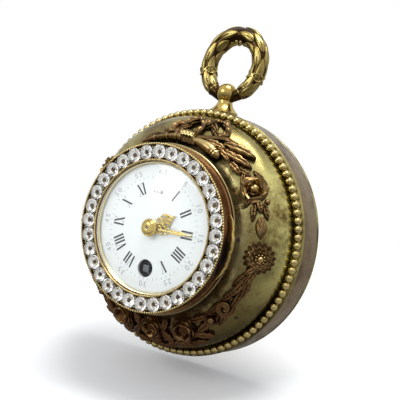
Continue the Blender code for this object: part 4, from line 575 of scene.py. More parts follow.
def tube(path, radius, sides=8, closed=False, flat=1.0, up=Vector((0, 1, 0)), section=None):
    """Sweeps a round, flattened or given section along points in metres; radius and up may be lists."""
    mesh = bmesh.new()
    count = len(path)
    if section is None:
        angles = [FULL_TURN * k / sides for k in range(sides)]
        section = [(math.cos(angle), flat * math.sin(angle)) for angle in angles]
    rows = []
    for index, place in enumerate(path):
        before = path[(index - 1) % count if closed else max(index - 1, 0)]
        after = path[(index + 1) % count if closed else min(index + 1, count - 1)]
        along = (after - before).normalized()
        side = along.cross(up[index] if isinstance(up, list) else up)
        side = side.normalized() if side.length > 1e-6 else along.orthogonal().normalized()
        rise = side.cross(along)
        size = radius[index] if isinstance(radius, list) else radius
        rows.append([mesh.verts.new(place + side * (size * across) + rise * (size * high))
                     for across, high in section])
    walled(mesh, rows + (rows[:1] if closed else []), True)
    if not closed:
        mesh.faces.new(rows[0])
        mesh.faces.new(rows[-1])
    bmesh.ops.recalc_face_normals(mesh, faces=mesh.faces)
    return mesh


def mirrored(mesh):
    """Gives a copy of a bmesh on the other side of the clock's middle plane, its faces outwards."""
    other = mesh.copy()
    for corner in other.verts:
        corner.co.x = -corner.co.x
    bmesh.ops.reverse_faces(other, faces=other.faces)
    return other


def outline_table():
    """Gives the case's outline from the neck's top to the dome's edge: arcs from the dome's foot,
    points and outward directions, in millimetres."""
    neck = curve_points(NECK_CURVE, 60)[::-1]
    points = np.array(neck[:-1] + curve_points(DOME_CURVE, 120)[::-1])
    arcs = np.concatenate([[0], np.cumsum(np.linalg.norm(np.diff(points, axis=0), axis=1))])
    arcs -= arcs[len(neck) - 1]
    ways = np.gradient(points, arcs, axis=0)
    ways /= np.linalg.norm(ways, axis=1)[:, None]
    return arcs, points, np.stack([-ways[:, 1], ways[:, 0]], axis=1)


def dome_places(angles, arcs, lifts):
    """Gives places, in metres, at clock angles in radians, arcs from the dome's foot and heights
    over its surface in millimetres."""
    table, points, normals = outline_table()
    arcs = np.clip(arcs, table[0], table[-1] - 0.05)
    reach = np.interp(arcs, table, points[:, 0]) + lifts * np.interp(arcs, table, normals[:, 0])
    forward = np.interp(arcs, table, points[:, 1]) + lifts * np.interp(arcs, table, normals[:, 1])
    return np.stack([reach * np.sin(angles), -forward, reach * np.cos(angles)], axis=1) * MM


def laid(mesh, clock_degrees, arc, heading=0.0, lift=0.0):
    """Bends a flat model onto the dome at a clock angle and an arc from the dome's foot; its X
    turns by the heading from clockwise towards the edge."""
    flat = np.array([corner.co for corner in mesh.verts]) / MM
    turn = math.radians(heading)
    down = arc + flat[:, 0] * math.sin(turn) + flat[:, 1] * math.cos(turn)
    table, points, _ = outline_table()
    radius = np.interp(down, table, points[:, 0])
    around = (flat[:, 0] * math.cos(turn) - flat[:, 1] * math.sin(turn)) / radius
    places = dome_places(math.radians(clock_degrees) + around, down, flat[:, 2] + lift)
    for corner, place in zip(mesh.verts, places):
        corner.co = place
    return mesh


def mark_lift(data, heights):
    """Keeps each corner's height over what it stands on, in millimetres, for the finish to read."""
    marks = data.attributes.new("lift", "FLOAT", "POINT")
    marks.data.foreach_set("value", np.asarray(heights, dtype=np.float32))


def heights_on_dome(data):
    """Gives the height over the dome of each corner of a mesh."""
    places = np.array([corner.co for corner in data.vertices]) / MM
    spots = np.stack([np.hypot(places[:, 0], places[:, 2]), -places[:, 1]], axis=1)
    _, points, normals = outline_table()
    points, normals = points[::3], normals[::3]
    heights = []
    for spot in spots:
        apart = spot - points
        near = np.argmin((apart ** 2).sum(axis=1))
        heights.append(float((apart[near] * normals[near]).sum()))
    return heights


def data_from(mesh, name, smooth=35):
    """Turns a bmesh into mesh data, shaded smooth up to an angle in degrees; 0 keeps it faceted."""
    data = bpy.data.meshes.new(name)
    mesh.to_mesh(data)
    mesh.free()
    if smooth:
        data.shade_smooth()
        data.set_sharp_from_angle(angle=math.radians(smooth))
    return data


def piece(name, shape, finish, body, slot, *nodes, smooth=35):
    """Makes a finished piece from a bmesh or mesh data, and says what it rides on and stands for."""
    data = data_from(shape, name, smooth) if isinstance(shape, bmesh.types.BMesh) else shape
    data.name = name
    data.materials.clear()
    data.materials.append(finish)
    made = bpy.data.objects.new(name, data)
    bpy.context.scene.collection.objects.link(made)
    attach(made, body)
    if nodes:
        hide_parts(*nodes)


def round_tree():
    """Sets copies evenly round the clock's axis, each turned to face outwards."""
    if "Copies round the axis" in bpy.data.node_groups:
        return bpy.data.node_groups["Copies round the axis"]
    tree, start, end = new_tree("Copies round the axis", "GeometryNodeTree",
                                {"Copy": "Object", "Count": "Int", "Radius": "Float", "Forward": "Float",
                                 "First angle": "Float", "Twist": "Float", "Tilt": "Float", "Seed": "Int",
                                 "Material": "Material"}, {"Geometry": "Geometry"})
    count, radius, forward, first, twist, seed = (Value(start.outputs[label]) for label in (
        "Count", "Radius", "Forward", "First angle", "Twist", "Seed"))
    index = Value(node(tree, "GeometryNodeInputIndex").outputs["Index"])
    angle = index * (FULL_TURN / count) + first
    place = node(tree, "ShaderNodeCombineXYZ", X=radius * worked_out("COSINE", angle), Y=forward * -1.0,
                 Z=radius * worked_out("SINE", angle))
    points = node(tree, "GeometryNodePoints", Count=count, Position=place.outputs["Vector"])
    chance = node(tree, "FunctionNodeRandomValue", {"data_type": "FLOAT"}, n2=-1.0, Seed=seed)
    facing = node(tree, "ShaderNodeCombineXYZ", Y=Value(chance.outputs[1]) * twist - angle)
    lean = node(tree, "FunctionNodeRandomValue", {"data_type": "FLOAT_VECTOR"}, n0=(-1, 0, -1), n1=(1, 0, 1),
                Seed=seed + 11)
    tipped = node(tree, "ShaderNodeVectorMath", {"operation": "SCALE"}, n0=lean.outputs[0],
                  Scale=start.outputs["Tilt"])
    euler = node(tree, "ShaderNodeVectorMath", {"operation": "ADD"}, n0=tipped.outputs[0],
                 n1=facing.outputs["Vector"])
    rotation = node(tree, "FunctionNodeEulerToRotation", Euler=euler.outputs[0])
    copy = node(tree, "GeometryNodeObjectInfo", Object=start.outputs["Copy"])
    copies = node(tree, "GeometryNodeInstanceOnPoints", Points=points.outputs["Geometry"],
                  Instance=copy.outputs["Geometry"], Rotation=rotation.outputs["Rotation"])
    real = node(tree, "GeometryNodeRealizeInstances", Geometry=copies.outputs["Instances"])
    dressed = node(tree, "GeometryNodeSetMaterial", Geometry=real.outputs["Geometry"],
                   Material=start.outputs["Material"])
    fed(end, Geometry=dressed.outputs["Geometry"])
    return tree


def round_copies(copy, count, radius, forward, material, first=0.0, twist=0.0, seed=1, tilt=0.0):
    """Sets copies of mesh data round the clock's axis and gives one plain mesh; lengths in millimetres."""
    model = bpy.data.objects.new("copy_model", copy)
    host = bpy.data.objects.new("copy_host", bpy.data.meshes.new("copy_host"))
    for thing in (model, host):
        bpy.context.scene.collection.objects.link(thing)
    change = host.modifiers.new("copies", "NODES")
    change.node_group = round_tree()
    values = {"Copy": model, "Count": count, "Radius": radius * MM, "Forward": forward * MM,
              "First angle": first, "Twist": twist, "Tilt": tilt, "Seed": seed, "Material": material}
    for item in change.node_group.interface.items_tree:
        if item.in_out == "INPUT":
            change[item.identifier] = values[item.name]
    bpy.context.view_layer.update()
    result = bpy.data.meshes.new_from_object(host.evaluated_get(bpy.context.evaluated_depsgraph_get()))
    host.modifiers.remove(change)
    for thing in (model, host):
        bpy.data.objects.remove(thing)
    return result


def mesh_of(data):
    """Gives a bmesh of mesh data and removes the data."""
    mesh = bmesh.new()
    mesh.from_mesh(data)
    bpy.data.meshes.remove(data)
    return mesh


def ball(radius, rings=6, sides=10):
    """Makes a small ball, in millimetres."""
    mesh = bmesh.new()
    bmesh.ops.create_uvsphere(mesh, u_segments=sides, v_segments=rings, radius=radius * MM)
    return mesh


# Leaves, flowers and ribbon, modelled flat with Z out of the metal


def leaf(length, width, height, lobes=5, curl=0.25):
    """Models a leaf with a midrib between swelling halves, side veins and a lobed edge, in millimetres."""
    mesh = bmesh.new()
    along_steps, across_steps = 20, 5
    rows = []
    for i in range(along_steps + 1):
        u = i / along_steps
        half = width / 2 * math.sin(math.pi * min(1, 0.06 + u * 0.94)) ** 0.7 * (1 - 0.3 * u)
        half *= 1 - 0.2 * abs(math.sin(math.pi * lobes * u))
        row = []
        for j in range(-across_steps, across_steps + 1):
            v = j / across_steps
            rise = height * (1 - v * v) ** 0.5 * math.sin(math.pi * min(1, 0.12 + 0.86 * u)) ** 0.5
            vein = 0.14 * height * math.sin(2 * math.pi * lobes * (u - 0.16 * abs(v)))
            vein *= abs(v) ** 0.5 * (1 - v * v)
            groove = 0.34 * height * max(0, 1 - abs(v) * 4) * (1 - 0.6 * u)
            z = rise * (0.8 + 0.25 * abs(v)) + vein - groove + curl * height * u * u
            row.append(mesh.verts.new(((u - 0.5) * length * MM, v * half * MM, z * MM)))
        rows.append(row)
    walled(mesh, rows)
    return closed_below(mesh)


def closed_below(mesh):
    """Closes an open sheet with a wall and a floor under it, so that it can be sunk in the case."""
    rim = [edge for edge in mesh.edges if len(edge.link_faces) == 1]
    made = bmesh.ops.extrude_edge_only(mesh, edges=rim)
    for corner in made["geom"]:
        if isinstance(corner, bmesh.types.BMVert):
            corner.co.z = -SUNK_DEPTH * MM
    bmesh.ops.remove_doubles(mesh, verts=mesh.verts, dist=0.001 * MM)
    edges = [edge for edge in mesh.edges if len(edge.link_faces) == 1]
    bmesh.ops.holes_fill(mesh, edges=edges, sides=0)
    bmesh.ops.recalc_face_normals(mesh, faces=mesh.faces)
    return mesh


def petal(length, width, height, cup, roll, twist, groove):
    """Models one petal that rises from its root, cups across, rolls over at its rim and may lift
    one side over its neighbour, in millimetres."""
    mesh = bmesh.new()
    rows = []
    for i in range(9):
        u = i / 8
        half = width / 2 * math.sin(math.pi / 2 * (0.3 + 0.85 * u)) * (0.62 if i == 8 else 1)
        row = []
        for j in range(-3, 4):
            v = j / 3
            z = height * u ** 1.1 + cup * v * v * u - roll * max(0, u - 0.7) ** 2 * 11 + twist * v * u
            z -= groove * max(0, 1 - 2 * abs(v)) * u
            row.append(mesh.verts.new(((u * length - v * v * 0.14 * length * u) * MM, v * half * MM, z * MM)))
        rows.append(row)
    walled(mesh, rows)
    return closed_below(mesh)


def petal_rings(radius, height, rings):
    """Sets rings of petals, each (reach, rise, count, width, cup, roll, twist, groove) as shares of
    the flower's radius or height."""
    meshes = []
    for number, (reach, rise, count, width, *folds) in enumerate(rings):
        for step in range(count):
            angle = FULL_TURN * (step + 0.5 * number + 0.13 * number * number) / count
            made = petal(radius * reach, radius * width, height * rise, *(height * fold for fold in folds))
            meshes.append(placed(made, Matrix.Rotation(angle, 4, "Z")))
    return meshes


def rose(radius, height):
    """Models a full rose whose broad petals lap over one another round a bud, in millimetres."""
    meshes = petal_rings(radius, height, ((1.0, 0.5, 5, 1.3, 0.18, 0.3, 0.2, 0.0),
                                          (0.76, 0.82, 4, 1.15, 0.2, 0.3, 0.22, 0.0),
                                          (0.46, 1.05, 3, 0.8, 0.18, 0.2, 0.2, 0.0)))
    meshes += petal_rings(radius, height, ((0.24, 1.1, 3, 0.5, 0.12, 0.1, 0.15, 0.0),))
    return gathered(meshes + [moved(ball(radius * 0.34, 8, 12), 0, 0, height * 0.48)])


def daisy(radius, height):
    """Models a round flower of many narrow grooved petals round a knob ringed with grains."""
    meshes = petal_rings(radius, height, ((1.0, 0.5, 16, 0.42, -0.08, 0.35, 0.08, 0.16),
                                          (0.78, 0.8, 13, 0.38, -0.08, 0.3, 0.08, 0.14),
                                          (0.5, 0.95, 9, 0.33, -0.06, 0.2, 0.06, 0.1)))
    meshes.append(moved(ball(radius * 0.17, 8, 10), 0, 0, height))
    reach = radius * 0.24
    for number in range(9):
        angle = FULL_TURN * number / 9
        grain = ball(radius * 0.06, 4, 6)
        meshes.append(moved(grain, reach * math.cos(angle), reach * math.sin(angle), height * 0.95))
    return gathered(meshes)


def hollow_rose(radius, height):
    """Models a rose whose waved rims stand round a deep hollow heart, in millimetres."""
    outline = ((0.0, 0.06), (0.2, 0.05), (0.36, 0.1), (0.46, 0.3), (0.52, 0.85), (0.58, 1.0), (0.64, 0.95),
               (0.68, 0.7), (0.7, 0.58), (0.76, 0.74), (0.82, 0.76), (0.87, 0.6), (0.89, 0.38), (0.94, 0.44),
               (0.99, 0.4), (1.03, 0.2), (1.04, -0.3), (0.8, -0.3), (0.0, -0.3))
    mesh = bmesh.new()
    steps = 40
    rows = []
    for step in range(steps):
        angle = FULL_TURN * step / steps
        row = []
        for reach, rise in outline:
            phase = 5 * angle + 9 * reach
            far = radius * reach * (1 + 0.07 * (math.sin(phase) * min(1, reach * 1.4)))
            swell = 0.1 * math.sin(phase + 1.2) if rise > 0.3 and reach > 0.4 else 0
            place = (far * math.cos(angle) * MM, far * math.sin(angle) * MM, height * (rise + swell) * MM)
            row.append(mesh.verts.new(place))
        rows.append(row)
    walled(mesh, rows + rows[:1])
    return cleaned(mesh, 0.001)


def bud(length, width, height):
    """Models a pointed bud wrapped in three scales, in millimetres."""
    path, radii = [], []
    for k in range(17):
        u = k / 16
        path.append(Vector(((u - 0.5) * length, 0, height * 0.3)) * MM)
        radii.append(max(0.06, width / 2 * math.sin(math.pi * u ** 0.8) ** 0.8) * MM)
    meshes = [tube(path, radii, 12, flat=height * 1.3 / width, up=Vector((0, 0, 1)))]
    for shift, side, size in ((-0.22, 0.0, 0.62), (-0.05, 0.16, 0.55), (0.1, -0.12, 0.5)):
        scale_leaf = leaf(length * size, width * 0.8, height * 0.35, lobes=1)
        meshes.append(moved(scale_leaf, length * shift, width * side, height * 0.78))
    return gathered(meshes)


def on_dome_path(places, count):
    """Gives evenly blended points, in metres, along (clock degrees, arc, lift) places on the dome,
    with the outward direction at each."""
    last = len(places) - 1
    places = np.array(places, dtype=float)
    blended = []
    for index in range(count + 1):
        position = index / count * last
        first = min(int(position), last - 1)
        local = position - first
        a, b, c, d = (places[max(0, min(last, first + k))] for k in (-1, 0, 1, 2))
        blended.append(0.5 * (2 * b + (c - a) * local + (2 * a - 5 * b + 4 * c - d) * local ** 2
                              + (3 * b - a - 3 * c + d) * local ** 3))
    angles, arcs, lifts = np.array(blended).T
    points = dome_places(np.radians(angles), arcs, lifts)
    above = dome_places(np.radians(angles), arcs, lifts + 1.0)
    return [Vector(p) for p in points], [Vector(q - p).normalized() for p, q in zip(points, above)]


def ribbon(places, count, width, taper=True, crumple=0.0):
    """Lays a ribbon with raised edges along places on the dome, gathered in uneven folds where it is
    crumpled; widths are in millimetres."""
    points, ups = on_dome_path(places, count)
    radii = []
    for index in range(count + 1):
        end = min(index, count - index) / count
        fold = math.sin(index * 0.83) + 0.7 * math.sin(index * 0.37 + 1.0)
        radii.append(width / 2 * MM * (min(1, 0.35 + end * 6) if taper else 1) * (1 + crumple * 0.3 * fold))
        points[index] = points[index] + ups[index] * (crumple * 0.5 * fold * MM)
    return tube(points, radii, up=ups, section=RIBBON_SECTION)


# Operators


class CLOCK_OT_case(bpy.types.Operator):
    """Turns the dome with its neck, the band and the rear cover."""
    bl_idname = "clock.make_case"
    bl_label = "Case"

    def execute(self, context):
        outer = curve_points(DOME_CURVE, 28) + curve_points(NECK_CURVE, 12)[1:]
        inner = [(radius - 0.9, forward - 0.35) for radius, forward in outer[::-3]]
        outline = arc_points((40.2, 12.3), 0.3, -90, 90, 6) + [(39.9, 12.72), (37.8, 12.72), (37.7, 12.9)]
        outline += outer + [(26.9, 32.05), (26.75, 32.2), (21.1, 32.2), (21.1, 31.2), (26.0, 31.2)]
        outline += inner[1:] + [(36.4, 12.0), (37.9, 12.0), (37.9, 9.0), (38.8, 9.0), (38.8, 12.0)]
        piece("dome", lathe(outline), dome_finish(context), "case", "aged_brass", "front_shell")

        rolls = lathe(arc_points((40.22, 12.3), 0.28, -180, 180, 10)[:-1])
        piece("flange_rim", rolls, bead_finish(context), "case", "aged_brass")

        band = [(39.1, 11.7), (39.8, 11.7)] + arc_points((39.75, 11.4), 0.25, 60, 0, 3)
        band += arc_points((39.75, 2.2), 0.25, 0, -60, 3) + [(39.8, 1.9), (39.1, 1.9)]
        piece("band", lathe(band), band_finish(context), "case", "red_brass", "case_band")

        cover = [(0, 0), (30, 0), (38.6, 0.02), (39.3, 0.18)] + arc_points((39.25, 0.9), 0.75, -60, 60, 6)
        cover += [(39.6, 1.58), (38.8, 1.6), (38.8, 3.3), (37.9, 3.3), (37.9, 1.3), (0, 1.3)]
        piece("rear_cover", lathe(cover), dome_finish(context), "cover", "aged_brass", "back_cover")
        return {"FINISHED"}


class CLOCK_OT_beads(bpy.types.Operator):
    """Strings the round beads on a wire in the channel round the dome."""
    bl_idname = "clock.make_beads"
    bl_label = "Bead gallery"

    def execute(self, context):
        sizes = context.scene.clock_case
        finish = bead_finish(context)
        longer = Matrix.Diagonal((1, BEAD_STRETCH, 1, 1))
        bead = data_from(placed(ball(sizes.bead_radius / MM, 8, 12), longer), "bead", 80)
        beads = mesh_of(round_copies(bead, sizes.bead_count, BEAD_CIRCLE, BEAD_FORWARD, finish))
        core = lathe(arc_points((BEAD_CIRCLE, BEAD_FORWARD - 0.55), 0.55, 0, 360, 8)[:-1], 192)
        piece("beads", gathered([beads, core]), finish, "case", "aged_brass", "bead_gallery", smooth=70)
        return {"FINISHED"}


class CLOCK_OT_pendant(bpy.types.Operator):
    """Turns the flared base and the ball that the ring swings in."""
    bl_idname = "clock.make_pendant"
    bl_label = "Pendant"

    def execute(self, context):
        base = BAND_RADIUS
        outline = [(0, 39.0), (4.6, 39.0), (4.75, base + 0.2), (4.75, base + 0.5), (4.6, base + 0.65)]
        flare = ((4.45, base + 0.72), (3.8, base + 1.35), (2.9, base + 2.0), (2.45, base + 3.5))
        outline += curve_points(flare, 12)
        neck = math.degrees(math.asin(2.4 / BALL_RADIUS))
        outline += arc_points((0, BALL_HEIGHT), BALL_RADIUS, neck - 90, 90, 20)
        mesh = lathe(outline, 56, upright=True)
        for corner in mesh.verts:
            if corner.co.z < (base - 1.0) * MM:
                across = min(abs(corner.co.x), 39 * MM)
                corner.co.z = math.sqrt((base * MM) ** 2 - across ** 2)
        moved(mesh, 0, -PENDANT_FORWARD, 0)
        piece("pendant_and_ball", mesh, ring_finish(context), "case", "bright_gilt", "pendant")
        return {"FINISHED"}


def ring_station(turn):
    """Gives a place on the ring's middle line at a turn from its bottom, in millimetres from its
    pivot, with the way up the ring, the way out of it and the tube's radius there."""
    middle = RING_HALF_HEIGHT * math.cos(RING_END_TURN)
    place = Vector((RING_HALF_WIDTH * math.sin(turn), 0, middle - RING_HALF_HEIGHT * math.cos(turn)))
    up_way = Vector((RING_HALF_WIDTH * math.cos(turn), 0, RING_HALF_HEIGHT * math.sin(turn))).normalized()
    share = (1 - math.cos(turn)) / 2
    return place, up_way, Vector((up_way.z, 0, -up_way.x)), 1.95 + 0.75 * share ** 1.5


def on_ring(mesh, turn, around_degrees):
    """Bends a flat model onto the ring, its X up the ring and its Z out of the metal."""
    pace = (RING_HALF_WIDTH + RING_HALF_HEIGHT) / 2
    for corner in mesh.verts:
        x, y, z = corner.co / MM
        place, _, out, thick = ring_station(turn + x / pace)
        angle = math.radians(around_degrees) - y / thick
        way = out * math.cos(angle) + Vector((0, 1, 0)) * math.sin(angle)
        corner.co = (place + way * (thick + z)) * MM
    return mesh


def ring_loop(turn, over, thick, lean=0.0, steps=32):
    """Bends a wire round the ring at a turn, standing over its metal and leaning up and down."""
    place, up_way, out, radius = ring_station(turn)
    loop = []
    for k in range(steps):
        angle = FULL_TURN * k / steps
        reach = (out * math.cos(angle) + Vector((0, -1, 0)) * math.sin(angle)) * (radius + over)
        loop.append((place + reach + up_way * (lean * math.sin(2 * angle))) * MM)
    return tube(loop, thick * MM, 6, closed=True)


class CLOCK_OT_ring(bpy.types.Operator):
    """Models the laurel ring: a tube wrapped in leaves that climb both sides, with crossed ties."""
    bl_idname = "clock.make_ring"
    bl_label = "Laurel ring"

    def execute(self, context):
        whole = gathered(self.elements())
        heights = []
        for corner in whole.verts:
            spot = corner.co / MM
            turn = math.atan2(spot.x / RING_HALF_WIDTH, math.cos(RING_END_TURN) - spot.z / RING_HALF_HEIGHT)
            place, _, _, thick = ring_station(turn)
            heights.append((spot - place).length - thick)
        pivot = Matrix.Translation((0, -PENDANT_FORWARD * MM, BALL_HEIGHT * MM))
        placed(whole, pivot @ Matrix.Rotation(-RING_LEAN, 4, "X"))
        data = data_from(whole, "laurel_ring", 50)
        mark_lift(data, heights)
        piece("laurel_ring", data, laurel_finish(context), "ring", "bright_gilt", "wreath_ring")
        return {"FINISHED"}

    def core(self):
        """Bends the ring's tube, its ends hollowed to hug the ball."""
        end = RING_END_TURN
        stations = [ring_station(end + (FULL_TURN - 2 * end) * k / 96) for k in range(97)]
        radii = [station[3] * MM * (0.9 if k in (0, 96) else 1) for k, station in enumerate(stations)]
        core = tube([station[0] * MM for station in stations], radii, 20)
        core.verts.ensure_lookup_table()
        hug = (BALL_RADIUS + 0.35) * MM
        for corner in core.verts[:20] + core.verts[-20:]:
            way = Vector((math.copysign(stations[0][1].x, -corner.co.x), 0, -stations[0][1].z))
            near = corner.co.dot(way)
            corner.co += way * (-near - math.sqrt(max(0, near ** 2 - corner.co.length_squared + hug ** 2)))
        return core

    def elements(self):
        """Models the tube, its pivots, ties, leaves and berries, in place about the pivot."""
        end = RING_END_TURN
        right = [tube([Vector((x * MM, 0, 0)) for x in (2.2, 3.9)], 0.8 * MM, 12)]
        right += [ring_loop(end + 0.14, 0.02, 0.3), ring_loop(end + 0.36, 0.12, 0.27)]
        right += [ring_loop(1.28, 0.72, 0.25, lean) for lean in (1.25, -1.25)]
        rows = 5
        for row in range(rows):
            turn = end + 0.62 + (math.pi - end - 0.98) * row / (rows - 1)
            right += [on_ring(leaf(6.7, 3.8, 0.67, lobes=1), turn, 90 * around + 45 * (row % 2) - 90)
                      for around in range(4)]
        right += [on_ring(leaf(5.0, 3.3, 0.66, lobes=1), end + 0.4, 90 * around - 45) for around in range(4)]
        berries = []
        for turn, around in ((math.pi, 180), (math.pi - 0.16, 205), (math.pi - 0.12, 155)):
            place, _, out, thick = ring_station(turn)
            way = out * math.cos(math.radians(around)) - Vector((0, 1, 0)) * math.sin(math.radians(around))
            berries.append(moved(ball(0.75, 6, 8), *(place + way * (thick + 0.15))))
        return [self.core()] + right + [mirrored(mesh) for mesh in right + berries[1:]] + berries


class CLOCK_OT_bezel(bpy.types.Operator):
    """Turns the bezel, edges it with fine grains and adds its thumb lift."""
    bl_idname = "clock.make_bezel"
    bl_label = "Bezel"

    def execute(self, context):
        outline = [(25.65, BEZEL_BACK), (26.25, BEZEL_BACK)] + arc_points((26.2, 32.75), 0.15, -90, 90, 4)
        outline += [(26.05, 33.0), (26.05, 37.3), (26.0, 37.75), (25.75, 37.75), (25.7, 37.5), (25.7, 36.3)]
        outline += [(21.35, 36.3), (21.35, 37.6), (21.1, 37.75), (20.75, 37.6), (20.6, 37.35), (20.75, 37.2)]
        outline += [(20.75, 35.3), (25.65, 35.3)]
        piece("bezel_body", lathe(outline), skirt_finish(context), "bezel_door", "red_brass", "bezel")

        floor = lathe([(21.35, 36.0), (21.35, 36.42), (25.7, 36.42), (25.7, 36.0)])
        # The stone channel's floor is a dark brown
        dark = old_brass("channel_dirt", (0.09, 0.06, 0.03), (0.02, 0.013, 0.008), 0.7, 2 * MM, 0.3)
        piece("stone_channel", floor, dark, "bezel_door", "red_brass")

        bright = bead_finish(context)
        count = context.scene.clock_bezel.grain_count
        grain = data_from(ball(0.36, 6, 8), "grain", 80)
        outer = mesh_of(round_copies(grain, count, 26.0, 37.55, bright))
        grain = data_from(ball(0.27, 5, 6), "grain", 80)
        inner = mesh_of(round_copies(grain, count, 20.98, 37.62, bright, first=0.01))
        rims = [lathe(arc_points((radius, 37.4), thick, 0, 360, 10)[:-1])
                for radius, thick in ((26.0, 0.22), (21.02, 0.36))]
        piece("milgrain", gathered([outer, inner] + rims), bright, "bezel_door", "red_brass", smooth=70)

        piece("thumb_lip", self.lip(), ring_finish(context), "bezel_door", "bright_gilt", "thumb_lift")
        return {"FINISHED"}

    def lip(self):
        """Bends the uneven lip along the bezel's right side, thinner towards its ends."""
        path, radii = [], []
        for k in range(31):
            share = 2 * k / 30 - 1
            angle = math.radians(-3 + 22 * share)
            bulge = (1 - abs(share) ** 2.6) ** 0.8
            wave = 0.16 * math.sin(9 * share) + 0.1 * math.sin(23 * share + 1)
            reach = 26.5 + (0.85 + wave) * bulge
            forward = 33.7 + 0.15 * math.sin(7 * share)
            path.append(Vector((reach * math.cos(angle), -forward, reach * math.sin(angle))) * MM)
            radii.append((0.14 + 0.55 * (1 - abs(share) ** 2.2)) * MM)
        return tube(path, radii, 10, flat=1.15)


def corner_ring(mesh, count, reach, forward, turn=0.0):
    """Adds a ring of corners round the forward axis, in millimetres, and gives it."""
    angles = [FULL_TURN * (k + turn) / count for k in range(count)]
    return [mesh.verts.new((reach * math.cos(angle) * MM, -forward * MM, reach * math.sin(angle) * MM))
            for angle in angles]


class CLOCK_OT_stones(bpy.types.Operator):
    """Cuts the paste stones, backs each with a foil cup and sets grains between them."""
    bl_idname = "clock.make_stones"
    bl_label = "Paste stones"

    def execute(self, context):
        settings = context.scene.clock_bezel
        radius = settings.stone_radius / MM
        count = settings.stone_count
        stone = bmesh.new()
        corners = []
        cut = ((8, 0.46, 0.78, 0.0), (8, 0.76, 0.50, 0.5), (16, 1.0, 0.06, 0.0), (16, 1.0, -0.08, 0.0),
               (8, 0.55, -0.75, 0.5), (1, 0.0, -1.2, 0.0))
        for sides, reach, forward, turn in cut:
            corners += corner_ring(stone, sides, radius * reach, forward, turn)
        bmesh.ops.convex_hull(stone, input=corners)
        bmesh.ops.recalc_face_normals(stone, faces=stone.faces)
        bmesh.ops.dissolve_limit(stone, angle_limit=math.radians(1), verts=stone.verts, edges=stone.edges)
        paste = glass_finish("paste", (0.98, 0.98, 0.97), 1.62)
        stones = round_copies(data_from(stone, "stone", 0), count, STONE_CIRCLE, STONE_GIRDLE, paste,
                              first=FIRST_STONE, twist=0.5, seed=7, tilt=0.09)
        piece("paste_stones", stones, paste, "bezel_door", "clear_glass")

        cup = bmesh.new()
        bowl = ((1.03, 0.0), (1.03, -0.14), (0.56, -0.82), (0.02, -1.28), (0.02, -1.36), (1.06, -1.36),
                (1.06, 0.0))
        rows = [corner_ring(cup, 12, radius * reach, forward) for reach, forward in bowl]
        walled(cup, rows, True)
        cup.faces.new(rows[3])
        foil = plain_metal("foil", tuple(settings.foil), 0.22, 0.5, 0.1)
        cups = round_copies(data_from(cleaned(cup, 0.001), "cup", 0), count, STONE_CIRCLE, STONE_GIRDLE, foil,
                            first=FIRST_STONE, twist=0.3, seed=3)
        piece("foil_cups", cups, foil, "bezel_door", "red_brass")

        bright = bead_finish(context)
        grain = data_from(ball(0.3, 5, 8), "prong", 80)
        between = FIRST_STONE + math.pi / count
        prongs = [mesh_of(round_copies(grain, count, reach, 37.3, bright, first=between))
                  for reach in (24.95, 22.0)]
        piece("prongs", gathered(prongs), bright, "bezel_door", "red_brass", smooth=70)
        return {"FINISHED"}


class CLOCK_OT_glass(bpy.types.Operator):
    """Turns the domed crystal and the sloped gilt ring under it."""
    bl_idname = "clock.make_glass"
    bl_label = "Crystal"

    def execute(self, context):
        low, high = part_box("glass")
        top, back = -low[1] / MM, -high[1] / MM
        radius, seat = 20.42, 19.9
        edge = back + 0.7
        rise = top - edge
        curve_radius = (seat ** 2 + rise ** 2) / (2 * rise)
        middle = top - curve_radius
        outline = self.cap(curve_radius, middle, seat, 24) + [(radius, edge), (radius, back)]
        inside = curve_radius - 0.8
        inner_seat = math.sqrt(inside ** 2 - (back - middle) ** 2)
        outline += self.cap(inside, middle, inner_seat, 20)[::-1]
        crystal = glass_finish("crystal", (0.985, 0.995, 0.99), 1.3)
        piece("domed_crystal", lathe(outline, 128), crystal, "bezel_door", "clear_glass", "glass")

        low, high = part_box("sight_ring")
        front, back = -low[1] / MM, -high[1] / MM
        slope = curve_points(((20.45, front), (20.2, front - 0.05), (19.9, back + 0.25), (19.75, back)), 5)
        outline = [(19.75, back), (20.45, back)] + slope[:-1]
        cream = old_brass("pale_gilt", (0.80, 0.72, 0.46), (0.55, 0.45, 0.22), 0.3, 4 * MM, 0.22)
        piece("gilt_sight", lathe(outline), cream, "bezel_door", "bright_gilt", "sight_ring")
        return {"FINISHED"}

    def cap(self, radius, middle, reach, count):
        """Gives points from the top of a ball of that radius out to a reach from its axis."""
        across = [reach * k / count for k in range(count + 1)]
        return [(x, middle + math.sqrt(radius ** 2 - x ** 2)) for x in across]


def dial_forward(radius):
    """Gives how far forward the domed dial lies at a radius, in millimetres."""
    return DIAL_FRONT - DIAL_DOME * (radius / DIAL_RADIUS) ** 2


